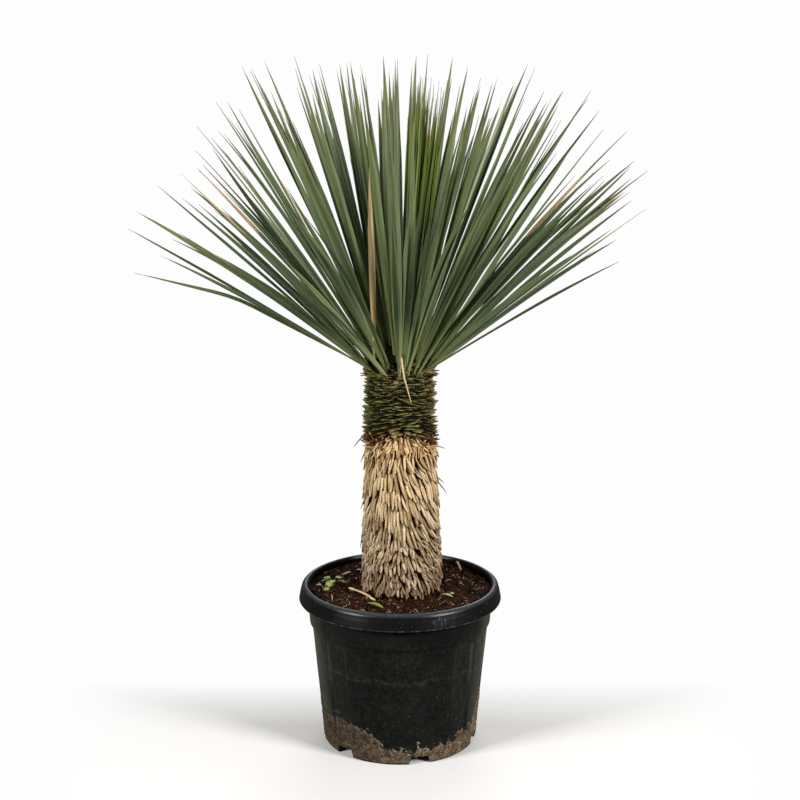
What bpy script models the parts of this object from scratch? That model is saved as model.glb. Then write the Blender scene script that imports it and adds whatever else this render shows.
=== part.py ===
"""Potted yucca: a rosette of narrow leaves on a thatched trunk, growing in a black nursery pot.

Metres, +Z up. The origin is the centre of the pot's foot, on the surface that it stands on,
and the pot's smooth label panel faces -Y.
"""

import math
import random

import bmesh
import bpy
import numpy as np
from mathutils import Matrix, Vector

GAP = 0.0003  # clearance between pieces that touch

# Pot. Its wall is a body with upright flutes, a smooth band above it, and a lip rolled out over the band.
POT_SEGMENTS = 48
POT_HEIGHT = 0.2585
FOOT_RADIUS = 0.1207
FOOT_WIDTH = 0.0065
FOOT_CORNER = 0.0030
FLOOR_BOTTOM = 0.0120
FLOOR_TOP = 0.0150
BODY_SLOPE = 0.098  # how much the radius grows for each metre of height
BODY_TOP = 0.1900
BODY_THICKNESS = 0.0055  # across the ribs; the flutes leave about half of it
BAND_BOTTOM = 0.1975
BAND_RADIUS = 0.1430
BAND_SLOPE = 0.090
BAND_THICKNESS = 0.0027
BAND_TOP = 0.2500
BAND_CORNER = 0.0020
CREST_RADIUS = 0.1490
CREST_OUTER_RADIUS = 0.0072
LIP_RADIUS = 0.1600
LIP_BOTTOM = 0.2326
LIP_THICKNESS = 0.0022
CHANNEL_TOP = 0.2525  # the hollow behind the lip, open below
CHANNEL_RADIUS = 0.1530

FLUTES = 9
FLUTE_ANGLE = math.radians(16.65)  # flute and rib are equally wide
LABEL_HALF_ANGLE = math.radians(38.5)
FLUTE_DEPTH = 0.0030
FLUTE_BOTTOM = 0.0200
FLUTE_CORNER = 0.0015
CUTTER_DEPTH = 0.0200

NOTCHES = 6
FIRST_NOTCH = math.radians(15)
NOTCH_HEIGHT = 0.0105
NOTCH_TOP_WIDTH = 0.0270
NOTCH_FOOT_WIDTH = 0.0340
DRAIN_RADIUS = 0.0060
DRAIN_CIRCLE = 0.0980

# Soil
SOIL_EDGE = 0.2395
SOIL_CROWN = 0.2490

# Trunk
TRUNK_SEGMENTS = 30
TRUNK_BOTTOM = 0.1750
TRUNK_BURIED_RADIUS = 0.0500
TRUNK_FOOT_RADIUS = 0.0620
TRUNK_TOP = 0.5150
TRUNK_RADIUS = 0.0605
TRUNK_SWELL = 0.0035
TRUNK_THINNING = 0.0020
TRUNK_TIERS = 12
TIER_STEP = 0.0050
HEM_HEIGHT = 0.0015

# Collar of cut leaf bases, domed where the leaves grow out
COLLAR_TOP = 0.6060
COLLAR_RADIUS = 0.0560
COLLAR_ROWS = 8
ROW_STEP = 0.0035
ROW_EDGE = 0.0020
DOME_RADIUS = 0.0520
DOME_HEIGHT = 0.0440
DOME_STATIONS = 10

# Leaves
LEAVES = 46
GOLDEN_ANGLE = math.pi * (3 - math.sqrt(5))
CROWN_TURN = math.radians(8)  # azimuth of the oldest leaf
LENGTHS = ((0, 0.395), (15, 0.430), (30, 0.468), (45, 0.432), (60, 0.378))  # by lean in degrees
LONG_SIDE = math.radians(110)  # azimuth of the longest leaves
LONG_SIDE_GROWTH = 0.06
LENGTH_SPREAD = 0.0140
LEAF_HALF_WIDTH = 0.0066
LEAF_HALF_THICKNESS = 0.0010
LEAF_STATIONS = 7
MEAN_SPREAD = math.radians(50)
SPREAD_SWING = math.radians(8)
SPREAD_AXIS = math.radians(28)
CROWDING = 1.45  # above 1, fewer of the leaves lean far out
LOWEST_ROOT = math.radians(88)
LEAF_BEND = math.radians(10)
STRAND_RADIUS = 0.0013
ROOT_GAP = 0.0005  # from a leaf's root to the dome, so that its tilted end stays clear

# Litter on the soil, placed by X and Y
TWIG_RADIUS = 0.0020
TWIG_BOW = 0.0022
TWIG_ENDS = ((-0.040, -0.056), (-0.080, -0.002))
STUB_RADIUS = 0.0030
STUB_FOOT = (0.098, 0.088)
STUB_REACH = Vector((-0.006, 0.001, 0.014))
SEEDLING_HEIGHT = 0.0090
SEEDLING_STEM_RADIUS = 0.0012
LEAFLET_HALF_WIDTH = 0.0032
LEAFLET_HALF_THICKNESS = 0.0012
LEAFLETS = (  # X, Y and Z from the stem's top, and half length
    (0.0050, 0.0010, 0.0000, 0.0062),
    (-0.0040, 0.0030, 0.0004, 0.0056),
    (0.0006, -0.0046, -0.0006, 0.0054),
)
SCRAP_LIFT = 0.0012

COLOURS = {  # base colour and roughness
    "black_plastic": ((0.012, 0.012, 0.011, 1), 0.45),
    "soil": ((0.030, 0.018, 0.010, 1), 0.95),
    "thatch": ((0.42, 0.27, 0.14, 1), 0.85),
    "leaf_base": ((0.060, 0.055, 0.018, 1), 0.80),
    "leaf": ((0.085, 0.130, 0.065, 1), 0.55),
    "dead_leaf": ((0.52, 0.33, 0.16, 1), 0.75),
    "weed": ((0.22, 0.34, 0.05, 1), 0.60),
    "twig": ((0.45, 0.31, 0.17, 1), 0.85),
}


def clear_scene():
    for obj in list(bpy.data.objects):
        bpy.data.objects.remove(obj, do_unlink=True)


def new_collection(name, hidden=False):
    collection = bpy.data.collections.new(name)
    collection.hide_render = hidden
    bpy.context.scene.collection.children.link(collection)
    return collection


def material(name):
    found = bpy.data.materials.get(name)
    if found:
        return found
    made = bpy.data.materials.new(name)
    made.use_nodes = True
    shader = made.node_tree.nodes["Principled BSDF"]
    colour, roughness = COLOURS[name]
    shader.inputs["Base Color"].default_value = colour
    shader.inputs["Roughness"].default_value = roughness
    shader.inputs["Metallic"].default_value = 0
    return made


def place(name, data, collection, finish=None):
    """Links a part with its finish. A cutter or guide has none, and stays out of the model."""
    obj = bpy.data.objects.new(name, data)
    collection.objects.link(obj)
    if finish:
        data.materials.append(material(finish))
    else:
        obj.hide_render = True
        obj.display_type = "WIRE"
    return obj


def mesh_from(bm, name):
    mesh = bpy.data.meshes.new(name)
    bm.to_mesh(mesh)
    bm.free()
    return mesh


def boolean(obj, operation, **operand):
    modifier = obj.modifiers.new(operation.title(), "BOOLEAN")
    modifier.operation = operation
    modifier.solver = "EXACT"
    for name, value in operand.items():
        setattr(modifier, name, value)


def turned(name, profile, segments, finish):
    """A solid of revolution. Its profile of (radius, height) points runs down the outer side."""
    mesh = bpy.data.meshes.new(name)
    edges = [(i, i + 1) for i in range(len(profile) - 1)]
    mesh.from_pydata([(radius, 0, height) for radius, height in profile], edges, [])
    obj = place(name, mesh, parts, finish)
    screw = obj.modifiers.new("Turn", "SCREW")
    screw.axis = "Z"
    screw.steps = segments
    screw.render_steps = segments
    screw.use_merge_vertices = True
    screw.merge_threshold = 0.0001
    screw.use_smooth_shade = True
    return obj


def arc(centre, radii, start, end, count):
    """Points on an ellipse in the profile plane, between angles in degrees from the outward direction."""
    angles = [math.radians(start + (end - start) * i / (count - 1)) for i in range(count)]
    return [(centre[0] + radii[0] * math.cos(a), centre[1] + radii[1] * math.sin(a)) for a in angles]


def body_radius(height):
    return FOOT_RADIUS + BODY_SLOPE * height


def band_radius(height):
    return BAND_RADIUS + BAND_SLOPE * (height - BAND_BOTTOM)


def inner_wall(clearance=0.0):
    """The pot's inner wall from the floor up, moved inwards by a clearance."""
    body = BODY_THICKNESS + clearance
    band = BAND_THICKNESS + clearance
    return [
        (body_radius(FLOOR_TOP) - body, FLOOR_TOP),
        (body_radius(BODY_TOP) - body, BODY_TOP),
        (band_radius(BAND_BOTTOM) - band, BAND_BOTTOM),
        (band_radius(BAND_TOP) - band, BAND_TOP),
    ]


def pot_profile():
    """From the floor's centre up the inside, over the crest, down the outside and under the floor."""
    inside = inner_wall()
    crest = (CREST_RADIUS, BAND_TOP)
    crest_height = POT_HEIGHT - BAND_TOP
    inner_crest = arc(crest, (CREST_RADIUS - inside[-1][0], crest_height), 180, 90, 4)
    outer_crest = arc(crest, (CREST_OUTER_RADIUS, crest_height), 90, 0, 5)
    lip = [
        (LIP_RADIUS, LIP_BOTTOM + LIP_THICKNESS),
        (LIP_RADIUS, LIP_BOTTOM),
        (LIP_RADIUS - LIP_THICKNESS, LIP_BOTTOM),
        (CHANNEL_RADIUS, CHANNEL_TOP),
        (band_radius(BAND_TOP) + LIP_THICKNESS / 2, CHANNEL_TOP),
    ]
    outside = [
        (band_radius(BAND_TOP), BAND_TOP - LIP_THICKNESS / 2),
        (band_radius(BAND_BOTTOM), BAND_BOTTOM),
        (band_radius(BAND_BOTTOM) - BAND_CORNER / 2, BAND_BOTTOM - BAND_CORNER),
        (body_radius(BODY_TOP), BODY_TOP),
    ]
    corner_centre = (body_radius(FOOT_CORNER) - FOOT_CORNER, FOOT_CORNER)
    corner = arc(corner_centre, (FOOT_CORNER, FOOT_CORNER), 0, -90, 4)
    foot_inner = FOOT_RADIUS - FOOT_WIDTH
    underside = [(foot_inner, 0), (foot_inner, FLOOR_BOTTOM), (0, FLOOR_BOTTOM)]
    rim = inside[:-1] + inner_crest + outer_crest[1:] + lip
    return [(0, FLOOR_TOP)] + rim + outside + corner + underside


def facing(angle, distance, height):
    """A frame on the pot's side: X along it, Y inwards and Z up. Angle 0 faces -Y and grows towards +X."""
    return Matrix.Rotation(angle, 4, "Z") @ Matrix.Translation((0, -distance, height))


def box_cutter(name, size, frame, foot_width=None, corner=0.0):
    """A box centred on its frame. Its lower face may be wider than its top."""
    bm = bmesh.new()
    bmesh.ops.create_cube(bm, size=1)
    bmesh.ops.scale(bm, vec=size, verts=bm.verts)
    if foot_width:
        lower = [v for v in bm.verts if v.co.z < 0]
        bmesh.ops.scale(bm, vec=(foot_width / size[0], 1, 1), verts=lower)
    if corner:
        bmesh.ops.bevel(bm, geom=bm.edges, offset=corner, segments=1, affect="EDGES")
    bmesh.ops.transform(bm, matrix=frame, verts=bm.verts)
    place(name, mesh_from(bm, name), cutters)


def cut_flutes():
    """Flat-bottomed upright flutes all round, except across the label panel."""
    height = BODY_TOP - FLUTE_BOTTOM
    middle = (BODY_TOP + FLUTE_BOTTOM) / 2
    width = 2 * body_radius(middle) * math.sin(FLUTE_ANGLE / 2)
    distance = body_radius(middle) - FLUTE_DEPTH + CUTTER_DEPTH / 2
    tilt = Matrix.Rotation(math.atan(BODY_SLOPE), 4, "X")
    for i in range(FLUTES):
        angle = LABEL_HALF_ANGLE + FLUTE_ANGLE * (2 * i + 0.5)
        frame = facing(angle, distance, middle) @ tilt
        box_cutter(f"flute_cutter_{i + 1}", (width, CUTTER_DEPTH, height), frame, corner=FLUTE_CORNER)


def cut_drainage():
    """Notches through the foot ring, with a drain hole in the floor behind each."""
    notch_size = (NOTCH_TOP_WIDTH, CUTTER_DEPTH, 2 * NOTCH_HEIGHT)
    foot_width = 2 * NOTCH_FOOT_WIDTH - NOTCH_TOP_WIDTH  # the box reaches as far below the foot as above it
    for i in range(NOTCHES):
        angle = FIRST_NOTCH + math.tau * i / NOTCHES
        notch_frame = facing(angle, FOOT_RADIUS - FOOT_WIDTH / 2, 0)
        box_cutter(f"notch_cutter_{i + 1}", notch_size, notch_frame, foot_width=foot_width)
        bm = bmesh.new()
        bmesh.ops.create_cone(
            bm,
            cap_ends=True,
            segments=12,
            radius1=DRAIN_RADIUS,
            radius2=DRAIN_RADIUS,
            depth=3 * (FLOOR_TOP - FLOOR_BOTTOM),
            matrix=facing(angle, DRAIN_CIRCLE, (FLOOR_TOP + FLOOR_BOTTOM) / 2),
        )
        place(f"drain_cutter_{i + 1}", mesh_from(bm, "drain_cutter"), cutters)


def make_pot():
    pot = turned("pot", pot_profile(), POT_SEGMENTS, "black_plastic")
    cut_flutes()
    cut_drainage()
    boolean(pot, "DIFFERENCE", operand_type="COLLECTION", collection=cutters)


def soil_height(radius):
    """The soil is level under the trunk's thatch and falls evenly from there to the pot's wall."""
    edge = band_radius(SOIL_EDGE) - BAND_THICKNESS
    share = (radius - TRUNK_FOOT_RADIUS) / (edge - TRUNK_FOOT_RADIUS)
    return SOIL_CROWN + (SOIL_EDGE - SOIL_CROWN) * min(max(share, 0), 1)


def on_soil(x, y, lift):
    return Vector((x, y, soil_height(math.hypot(x, y)) + lift))


def make_soil():
    """The pot's filling, with a pocket where the trunk stands."""
    wall = inner_wall(GAP)[:-1]
    wall[0] = (wall[0][0], FLOOR_TOP + GAP)
    pocket_radius = TRUNK_BURIED_RADIUS + GAP
    pocket = [(0, TRUNK_BOTTOM - GAP), (pocket_radius, TRUNK_BOTTOM - GAP), (pocket_radius, SOIL_CROWN)]
    surface = [(TRUNK_FOOT_RADIUS, SOIL_CROWN), (band_radius(SOIL_EDGE) - BAND_THICKNESS - GAP, SOIL_EDGE)]
    turned("soil", pocket + surface + wall[::-1] + [(0, FLOOR_TOP + GAP)], POT_SEGMENTS, "soil")


def trunk_radius(height):
    """The thatch is thickest below its middle and thins towards the collar."""
    share = (height - SOIL_CROWN) / (TRUNK_TOP - SOIL_CROWN)
    return TRUNK_RADIUS + TRUNK_SWELL * math.sin(math.pi * min(1, share + 0.12)) - TRUNK_THINNING * share


def make_trunk():
    """Tiers of dead leaf bases hang over each other down to the soil. The foot of the trunk is buried."""
    lowest = SOIL_CROWN + GAP
    tier_height = (TRUNK_TOP - lowest) / TRUNK_TIERS
    profile = [(0, TRUNK_TOP)]
    for i in range(TRUNK_TIERS):
        top = TRUNK_TOP - tier_height * i
        hem = top - tier_height
        profile.append((trunk_radius(top) - TIER_STEP, top))
        profile.append((trunk_radius(hem), hem + HEM_HEIGHT))
    profile += [(TRUNK_BURIED_RADIUS, lowest), (TRUNK_BURIED_RADIUS, TRUNK_BOTTOM), (0, TRUNK_BOTTOM)]
    turned("trunk", profile, TRUNK_SEGMENTS, "thatch")


def make_collar():
    """Rows of cut leaf bases, each row sticking out at its top, under the dome that bears the leaves."""
    bottom = TRUNK_TOP + GAP
    row_height = (COLLAR_TOP - bottom) / COLLAR_ROWS
    profile = arc((0, COLLAR_TOP), (DOME_RADIUS, DOME_HEIGHT), 90, 0, DOME_STATIONS)
    for i in range(COLLAR_ROWS):
        top = COLLAR_TOP - row_height * i
        profile.append((COLLAR_RADIUS, top - ROW_EDGE))
        profile.append((COLLAR_RADIUS - ROW_STEP, top - row_height))
    turned("leaf_base_collar", profile + [(0, bottom)], TRUNK_SEGMENTS, "leaf_base")


def poly_curve(name, path, **settings):
    """A 3D curve of straight steps along a path, with filled ends. Its data takes the settings."""
    curve = bpy.data.curves.new(name, "CURVE")
    curve.dimensions = "3D"
    curve.use_fill_caps = True
    for setting, value in settings.items():
        setattr(curve, setting, value)
    spline = curve.splines.new("POLY")
    spline.points.add(len(path) - 1)
    for point, spot in zip(spline.points, path):
        point.co = (*spot, 1)
    return curve


def blade_section():
    """A flat rhombus of unit half width, which every leaf blade carries along its midrib."""
    thick = LEAF_HALF_THICKNESS / LEAF_HALF_WIDTH
    curve = poly_curve("blade_section", [(1, 0, 0), (0, -thick, 0), (-1, 0, 0), (0, thick, 0)])
    curve.splines[0].use_cyclic_u = True
    return place("blade_section", curve, guides)


def width_share(along):
    """A leaf is narrow at its root, widest past its middle, and ends in a needle."""
    swell = 0.52 + 0.48 * math.sin(math.pi / 2 * min(1, along / 0.55))
    taper = min(1, (1.02 - along) / 0.42) ** 0.8
    return swell * taper


def blade(name, path, half_width, finish):
    """The flat section carried along a path, with its face turned to the sky."""
    curve = poly_curve(name, path, twist_mode="Z_UP", bevel_mode="OBJECT", bevel_object=section)
    for i, point in enumerate(curve.splines[0].points):
        point.radius = half_width * width_share(i / (len(path) - 1))
    place(name, curve, parts, finish)


def dome_point(azimuth, root):
    """A point just off the dome. Azimuth is from +X, and root is the angle down from the dome's top."""
    normal = Vector((math.sin(root) / DOME_RADIUS, 0, math.cos(root) / DOME_HEIGHT)).normalized()
    spot = Vector((DOME_RADIUS * math.sin(root), 0, COLLAR_TOP + DOME_HEIGHT * math.cos(root)))
    return Matrix.Rotation(azimuth, 3, "Z") @ (spot + normal * ROOT_GAP)


def leaning(azimuth, lean):
    return Vector((math.sin(lean) * math.cos(azimuth), math.sin(lean) * math.sin(azimuth), math.cos(lean)))


def leaf_path(start, azimuth, lean, bend, length):
    """Points along a midrib that leans further over as it goes."""
    steps = LEAF_STATIONS - 1
    spots = [start]
    for i in range(steps):
        tangent = leaning(azimuth, lean + bend * (i + 0.5) / steps)
        spots.append(spots[-1] + tangent * length / steps)
    return spots


def widest_lean(azimuth):
    """The crown is broader across one axis than the other."""
    return MEAN_SPREAD + SPREAD_SWING * math.cos(2 * (azimuth - SPREAD_AXIS))


def leaf_length(azimuth, lean):
    """Leaves are longest at a lean of 30 degrees, and a little longer on one side of the crown."""
    length = np.interp(math.degrees(lean), *zip(*LENGTHS))
    return float(length) * (1 + LONG_SIDE_GROWTH * math.cos(azimuth - LONG_SIDE))


def make_leaves():
    """The rosette: each leaf is a golden turn from the last and stands more upright, up to the youngest."""
    rng = random.Random(7)
    for i in range(LEAVES):
        age = 1 - (i + 0.5) / LEAVES
        azimuth = CROWN_TURN + i * GOLDEN_ANGLE
        lean = math.acos(1 - age**CROWDING * (1 - math.cos(widest_lean(azimuth))))
        root = dome_point(azimuth, math.acos(1 - age * (1 - math.cos(LOWEST_ROOT))))
        length = leaf_length(azimuth, lean) + rng.uniform(-LENGTH_SPREAD, LENGTH_SPREAD)
        bend = LEAF_BEND * age**2 * rng.uniform(0.2, 1.4)
        path = leaf_path(root, azimuth, lean, bend, length)
        blade(f"leaf_{i + 1:02d}", path, LEAF_HALF_WIDTH * rng.uniform(0.9, 1.08), "leaf")


def make_bent_leaf():
    """A thin leaf, lowest of all, that bends outwards before its middle."""
    azimuth = math.radians(194)
    bend_at = 0.215
    path = leaf_path(dome_point(azimuth, math.radians(86)), azimuth, math.radians(60), 0, bend_at)
    for lean, step in ((66, 0.020), (72, 0.040), (74, 0.060), (75, 0.040)):
        path.append(path[-1] + step * leaning(azimuth, math.radians(lean)))
    blade("bent_leaf", path, 0.7 * LEAF_HALF_WIDTH, "leaf")


def make_dead_leaves():
    """A dry leaf standing in front of the crown, and a thin dry strand hanging over the collar."""
    blade_clearance = Vector((-0.0009, -0.0015, 0.0009))
    start = dome_point(math.radians(221), math.radians(76)) + blade_clearance
    path = leaf_path(start, math.radians(268), math.radians(23), 0, 0.34)
    blade("dead_leaf", path, LEAF_HALF_WIDTH, "dead_leaf")
    strand_clearance = Vector((0, -0.0006, 0.0003))
    root = dome_point(math.radians(277), math.radians(78)) + strand_clearance
    hang = (
        (0, 0, 0),
        (-0.003, -0.009, 0.012),
        (-0.005, -0.019, 0.026),
        (-0.004, -0.023, 0.018),
        (0.000, -0.024, -0.010),
        (0.004, -0.023, -0.032),
        (0.007, -0.021, -0.050),
    )
    stick("dead_strand", [root + Vector(step) for step in hang], STRAND_RADIUS, "dead_leaf")


def stick(name, path, radius, finish="twig"):
    place(name, poly_curve(name, path, bevel_depth=radius, bevel_resolution=2), parts, finish)


def make_sticks():
    """A dry twig lying out from the trunk's foot, and a short stub of bark standing by the wall."""
    near, far = [on_soil(x, y, TWIG_RADIUS + 2 * GAP) for x, y in TWIG_ENDS]
    middle = (near + far) / 2 + Vector((0, 0, TWIG_BOW))
    stick("twig", [near, middle, far], TWIG_RADIUS)
    tilt = math.hypot(STUB_REACH.x, STUB_REACH.y) / STUB_REACH.length
    foot = on_soil(*STUB_FOOT, STUB_RADIUS * tilt + 2 * GAP)
    stick("bark_stub", [foot, foot + STUB_REACH], STUB_RADIUS)


def leaflet(name, centre, half_length, turn):
    """A guide pad, flattened and turned about Z."""
    bm = bmesh.new()
    size = Matrix.Diagonal((half_length, LEAFLET_HALF_WIDTH, LEAFLET_HALF_THICKNESS, 1))
    frame = Matrix.Translation(centre) @ Matrix.Rotation(turn, 4, "Z") @ size
    bmesh.ops.create_icosphere(bm, subdivisions=1, radius=1, matrix=frame)
    return place(name, mesh_from(bm, name), guides)


def seedling(name, foot, leaflets):
    """A weed seedling: a short stem with round leaflets joined to its top."""
    bm = bmesh.new()
    bmesh.ops.create_cone(
        bm,
        cap_ends=True,
        segments=8,
        radius1=SEEDLING_STEM_RADIUS,
        radius2=0.75 * SEEDLING_STEM_RADIUS,
        depth=SEEDLING_HEIGHT,
        matrix=Matrix.Translation(foot + Vector((0, 0, SEEDLING_HEIGHT / 2))),
    )
    obj = place(name, mesh_from(bm, name), parts, "weed")
    top = foot + Vector((0, 0, SEEDLING_HEIGHT))
    for i, (x, y, z, half_length) in enumerate(leaflets):
        pad = leaflet(f"{name}_leaflet_{i + 1}", top + Vector((x, y, z)), half_length, math.atan2(y, x))
        boolean(obj, "UNION", object=pad)


def make_weeds():
    seedling("seedling_large", on_soil(-0.106, 0.014, 2 * GAP), LEAFLETS)
    seedling("seedling_small", on_soil(-0.120, -0.012, 2 * GAP), LEAFLETS[:2])


def scrap(name, near, far, half_width):
    """A scrap of leaf lying on the soil."""
    ends = [on_soil(*near, SCRAP_LIFT), on_soil(*far, SCRAP_LIFT)]
    blade(name, [ends[0].lerp(ends[1], share) for share in (0, 0.3, 0.7, 1)], half_width, "weed")


clear_scene()
parts = new_collection("potted_yucca")
cutters = new_collection("pot_cutters", hidden=True)
guides = new_collection("guides", hidden=True)
section = blade_section()
make_pot()
make_soil()
make_trunk()
make_collar()
make_leaves()
make_bent_leaf()
make_dead_leaves()
make_sticks()
make_weeds()
scrap("fallen_leaf_left", (-0.050, -0.074), (-0.026, -0.104), 0.0034)
scrap("fallen_leaf_right", (0.064, -0.028), (0.083, -0.040), 0.0028)
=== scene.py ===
"""Looks of the potted yucca: fine leaves, thatched trunk, soil and weathered pot, with lights and a camera.

Metres, +Z up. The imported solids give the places: the origin is the centre of the pot's foot, on the floor,
and the pot's smooth label panel faces -Y.
"""

import math
import random

import bpy
import numpy as np
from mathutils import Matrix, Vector


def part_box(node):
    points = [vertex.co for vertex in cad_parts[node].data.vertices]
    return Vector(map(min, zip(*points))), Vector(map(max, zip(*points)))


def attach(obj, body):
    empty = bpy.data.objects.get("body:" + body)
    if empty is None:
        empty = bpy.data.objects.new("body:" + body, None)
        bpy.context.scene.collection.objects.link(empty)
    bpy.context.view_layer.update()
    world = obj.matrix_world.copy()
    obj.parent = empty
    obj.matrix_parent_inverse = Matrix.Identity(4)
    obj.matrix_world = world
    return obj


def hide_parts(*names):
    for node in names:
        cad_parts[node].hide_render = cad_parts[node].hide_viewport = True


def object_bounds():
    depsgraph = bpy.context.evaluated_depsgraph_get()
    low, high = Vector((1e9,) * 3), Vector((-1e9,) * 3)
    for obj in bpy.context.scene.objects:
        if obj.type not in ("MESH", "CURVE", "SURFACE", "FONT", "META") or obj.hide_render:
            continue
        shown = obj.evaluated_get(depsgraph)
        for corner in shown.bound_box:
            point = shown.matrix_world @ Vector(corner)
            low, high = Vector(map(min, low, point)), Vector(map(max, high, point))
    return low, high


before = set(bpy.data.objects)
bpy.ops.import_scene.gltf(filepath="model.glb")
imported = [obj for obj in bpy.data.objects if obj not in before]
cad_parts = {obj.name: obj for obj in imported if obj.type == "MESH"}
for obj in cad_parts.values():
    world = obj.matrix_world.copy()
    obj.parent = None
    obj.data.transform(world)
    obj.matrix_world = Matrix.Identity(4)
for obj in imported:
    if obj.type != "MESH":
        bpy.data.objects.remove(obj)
cad_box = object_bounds()
pot_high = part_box("pot")[1]
soil_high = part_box("soil")[1]
trunk_low, trunk_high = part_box("trunk")
collar_low, collar_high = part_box("leaf_base_collar")

GOLDEN_ANGLE = math.pi * (3 - math.sqrt(5))
FULL_TURN = 2 * math.pi

# Pot profile, as in the solids but for what a comment names
LIP_RADIUS = pot_high.x
POT_HEIGHT = pot_high.z
FOOT_RADIUS = 0.1207
FOOT_WIDTH = 0.0065
FOOT_CORNER = 0.0030
FLOOR_BOTTOM = 0.0130  # 1 mm higher than in the solid, above the taller notches
FLOOR_TOP = 0.0150
BODY_SLOPE = 0.098
BODY_TOP = 0.1900
BODY_THICKNESS = 0.0055
BAND_BOTTOM = 0.1975
BAND_RADIUS = 0.1430
BAND_SLOPE = 0.090
BAND_THICKNESS = 0.0027
BAND_TOP = 0.2500
BAND_CORNER = 0.0016
CREST_RADIUS = 0.1490
CREST_OUTER_RADIUS = 0.0072
LIP_BOTTOM = 0.2326
LIP_THICKNESS = 0.0022
LIP_SHOULDER = 0.2470  # where the crest ends and the lip's side begins
LIP_SETBACK = 0.0026  # the shoulder's radius is this much smaller than the lip's
LIP_BEAD = 0.0011  # radius of the lip's lower edge
CHANNEL_TOP = 0.2525
CHANNEL_BOTTOM = 0.2460  # where the band's side begins again under the hollow
CHANNEL_RADIUS = 0.1530
FLUTES = 9
FLUTE_ANGLE = math.radians(16.65)
LABEL_HALF_ANGLE = math.radians(38.5)
FLUTE_DEPTH = 0.0030
FLUTE_BOTTOM = 0.0200
FLUTE_TOP = 0.1870  # 3 mm lower than in the solid
FLUTE_CORNER = 0.0060  # rounder than in the solid
FLUTE_EDGE = 0.0012  # half the width of the slope between a flute and a rib
FLUTE_WEAR = 0.0011  # reach of the pale line of wear and painted highlight on each side of that edge
SCUFF_HEIGHT = 0.1390
RUBBED_SPOT = (0.0600, -0.1455, 0.2470)
NOTCHES = 6
FIRST_NOTCH = math.radians(15)
NOTCH_HEIGHT = 0.0125  # 2 mm taller than in the solid
NOTCH_TOP_WIDTH = 0.0270
NOTCH_FOOT_WIDTH = 0.0340
NOTCH_REACH = 0.0200  # height up to which the wall is drawn together over a notch
MUD_THICKNESS = 0.0009
POLE_RADIUS = 0.0200  # innermost ring of the pot and the soil

# Upper edge of the dried mud, as (angle in degrees from -Y towards +X, height)
MUD_EDGE = (
    (-180, 0.050),
    (-115, 0.070),
    (-80, 0.074),
    (-46, 0.063),
    (-24, 0.055),
    (-11, 0.034),
    (3, 0.024),
    (24, 0.029),
    (44, 0.031),
    (64, 0.042),
    (74, 0.085),
    (120, 0.062),
    (180, 0.050),
)

# Soil
SOIL_EDGE = 0.2492  # about 10 mm higher at the wall than in the solid
SOIL_CROWN = soil_high.z
SOIL_GAP = 0.0003  # from the filling to the pot
SOIL_SETTLING = 0.0026  # from the level cone down to the middle of the rippled surface
LITTER_LIFT = 0.0022
CRUMBS = 1500
CRUMB_CORNERS = 12
CRUMB_RADII = (0.055, 0.1405)
FIBRES = 230
FIBRE_RADII = (0.062, 0.134)
WALL_REACH = 0.1395  # fibres stay within this radius
SEEDLINGS = (  # name, X, Y, leaflets, spread, seed and the solid that it stands for
    ("large_weed", -0.106, 0.014, 7, 0.014, 81, "seedling_large"),
    ("small_weed", -0.120, -0.012, 4, 0.009, 82, "seedling_small"),
)

# Trunk. It is slimmer towards the top than the solid, and bows a little
TRUNK_FOOT_RADIUS = 0.0620
TRUNK_TOP = trunk_high.z
TRUNK_RADIUS = 0.0605
TRUNK_SWELL = 0.0025
SWELL_SHIFT = 0.30  # how far below the middle of its height the trunk is thickest, as a share
TRUNK_THINNING = 0.0056
TRUNK_BOW = 0.0025
CORE_DEPTH = 0.0085  # from the thatch's face in to the dark stem
BURIED_RADIUS = 0.0490
STRIP_DEPTH = 0.0016  # from the thatch's face in to the middle of a strip
STRIP_ROOT_DEPTH = 0.0062  # how much deeper a strip's start lies
STRAY_DEPTH = 0.0040  # from the thatch's face in to a loose strand's start
STRAY_HALF_WIDTH = 0.0021
CORE_POLE_RADIUS = 0.0100

# Tiers of hanging strips: name, lowest and highest end, step between tiers, strips around, range of lengths,
# looseness, flare and seed
LOWER_TIERS = 0.330
UPPER_TIERS = 0.455
THATCH = (
    ("thatch_scales", SOIL_CROWN, LOWER_TIERS, 0.0095, 70, (0.016, 0.027), 0.20, 0.0028, 302),
    ("thatch_middle", LOWER_TIERS, UPPER_TIERS, 0.0180, 62, (0.034, 0.052), 0.045, 0.0026, 301),
    ("thatch_upper", UPPER_TIERS, TRUNK_TOP, 0.0150, 54, (0.030, 0.044), 0.07, 0.0030, 303),
)
SLANTING_BASES = ("slanting_bases", UPPER_TIERS, 0.475, 0.0066, 44, (0.018, 0.026), 0.06, 0.0024, 304)
OPEN_SLOTS = 0.30  # by this share the highest strips are narrower, so that the dark stem shows between them
SLOTS_FROM = (0.425, 0.465)

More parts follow.
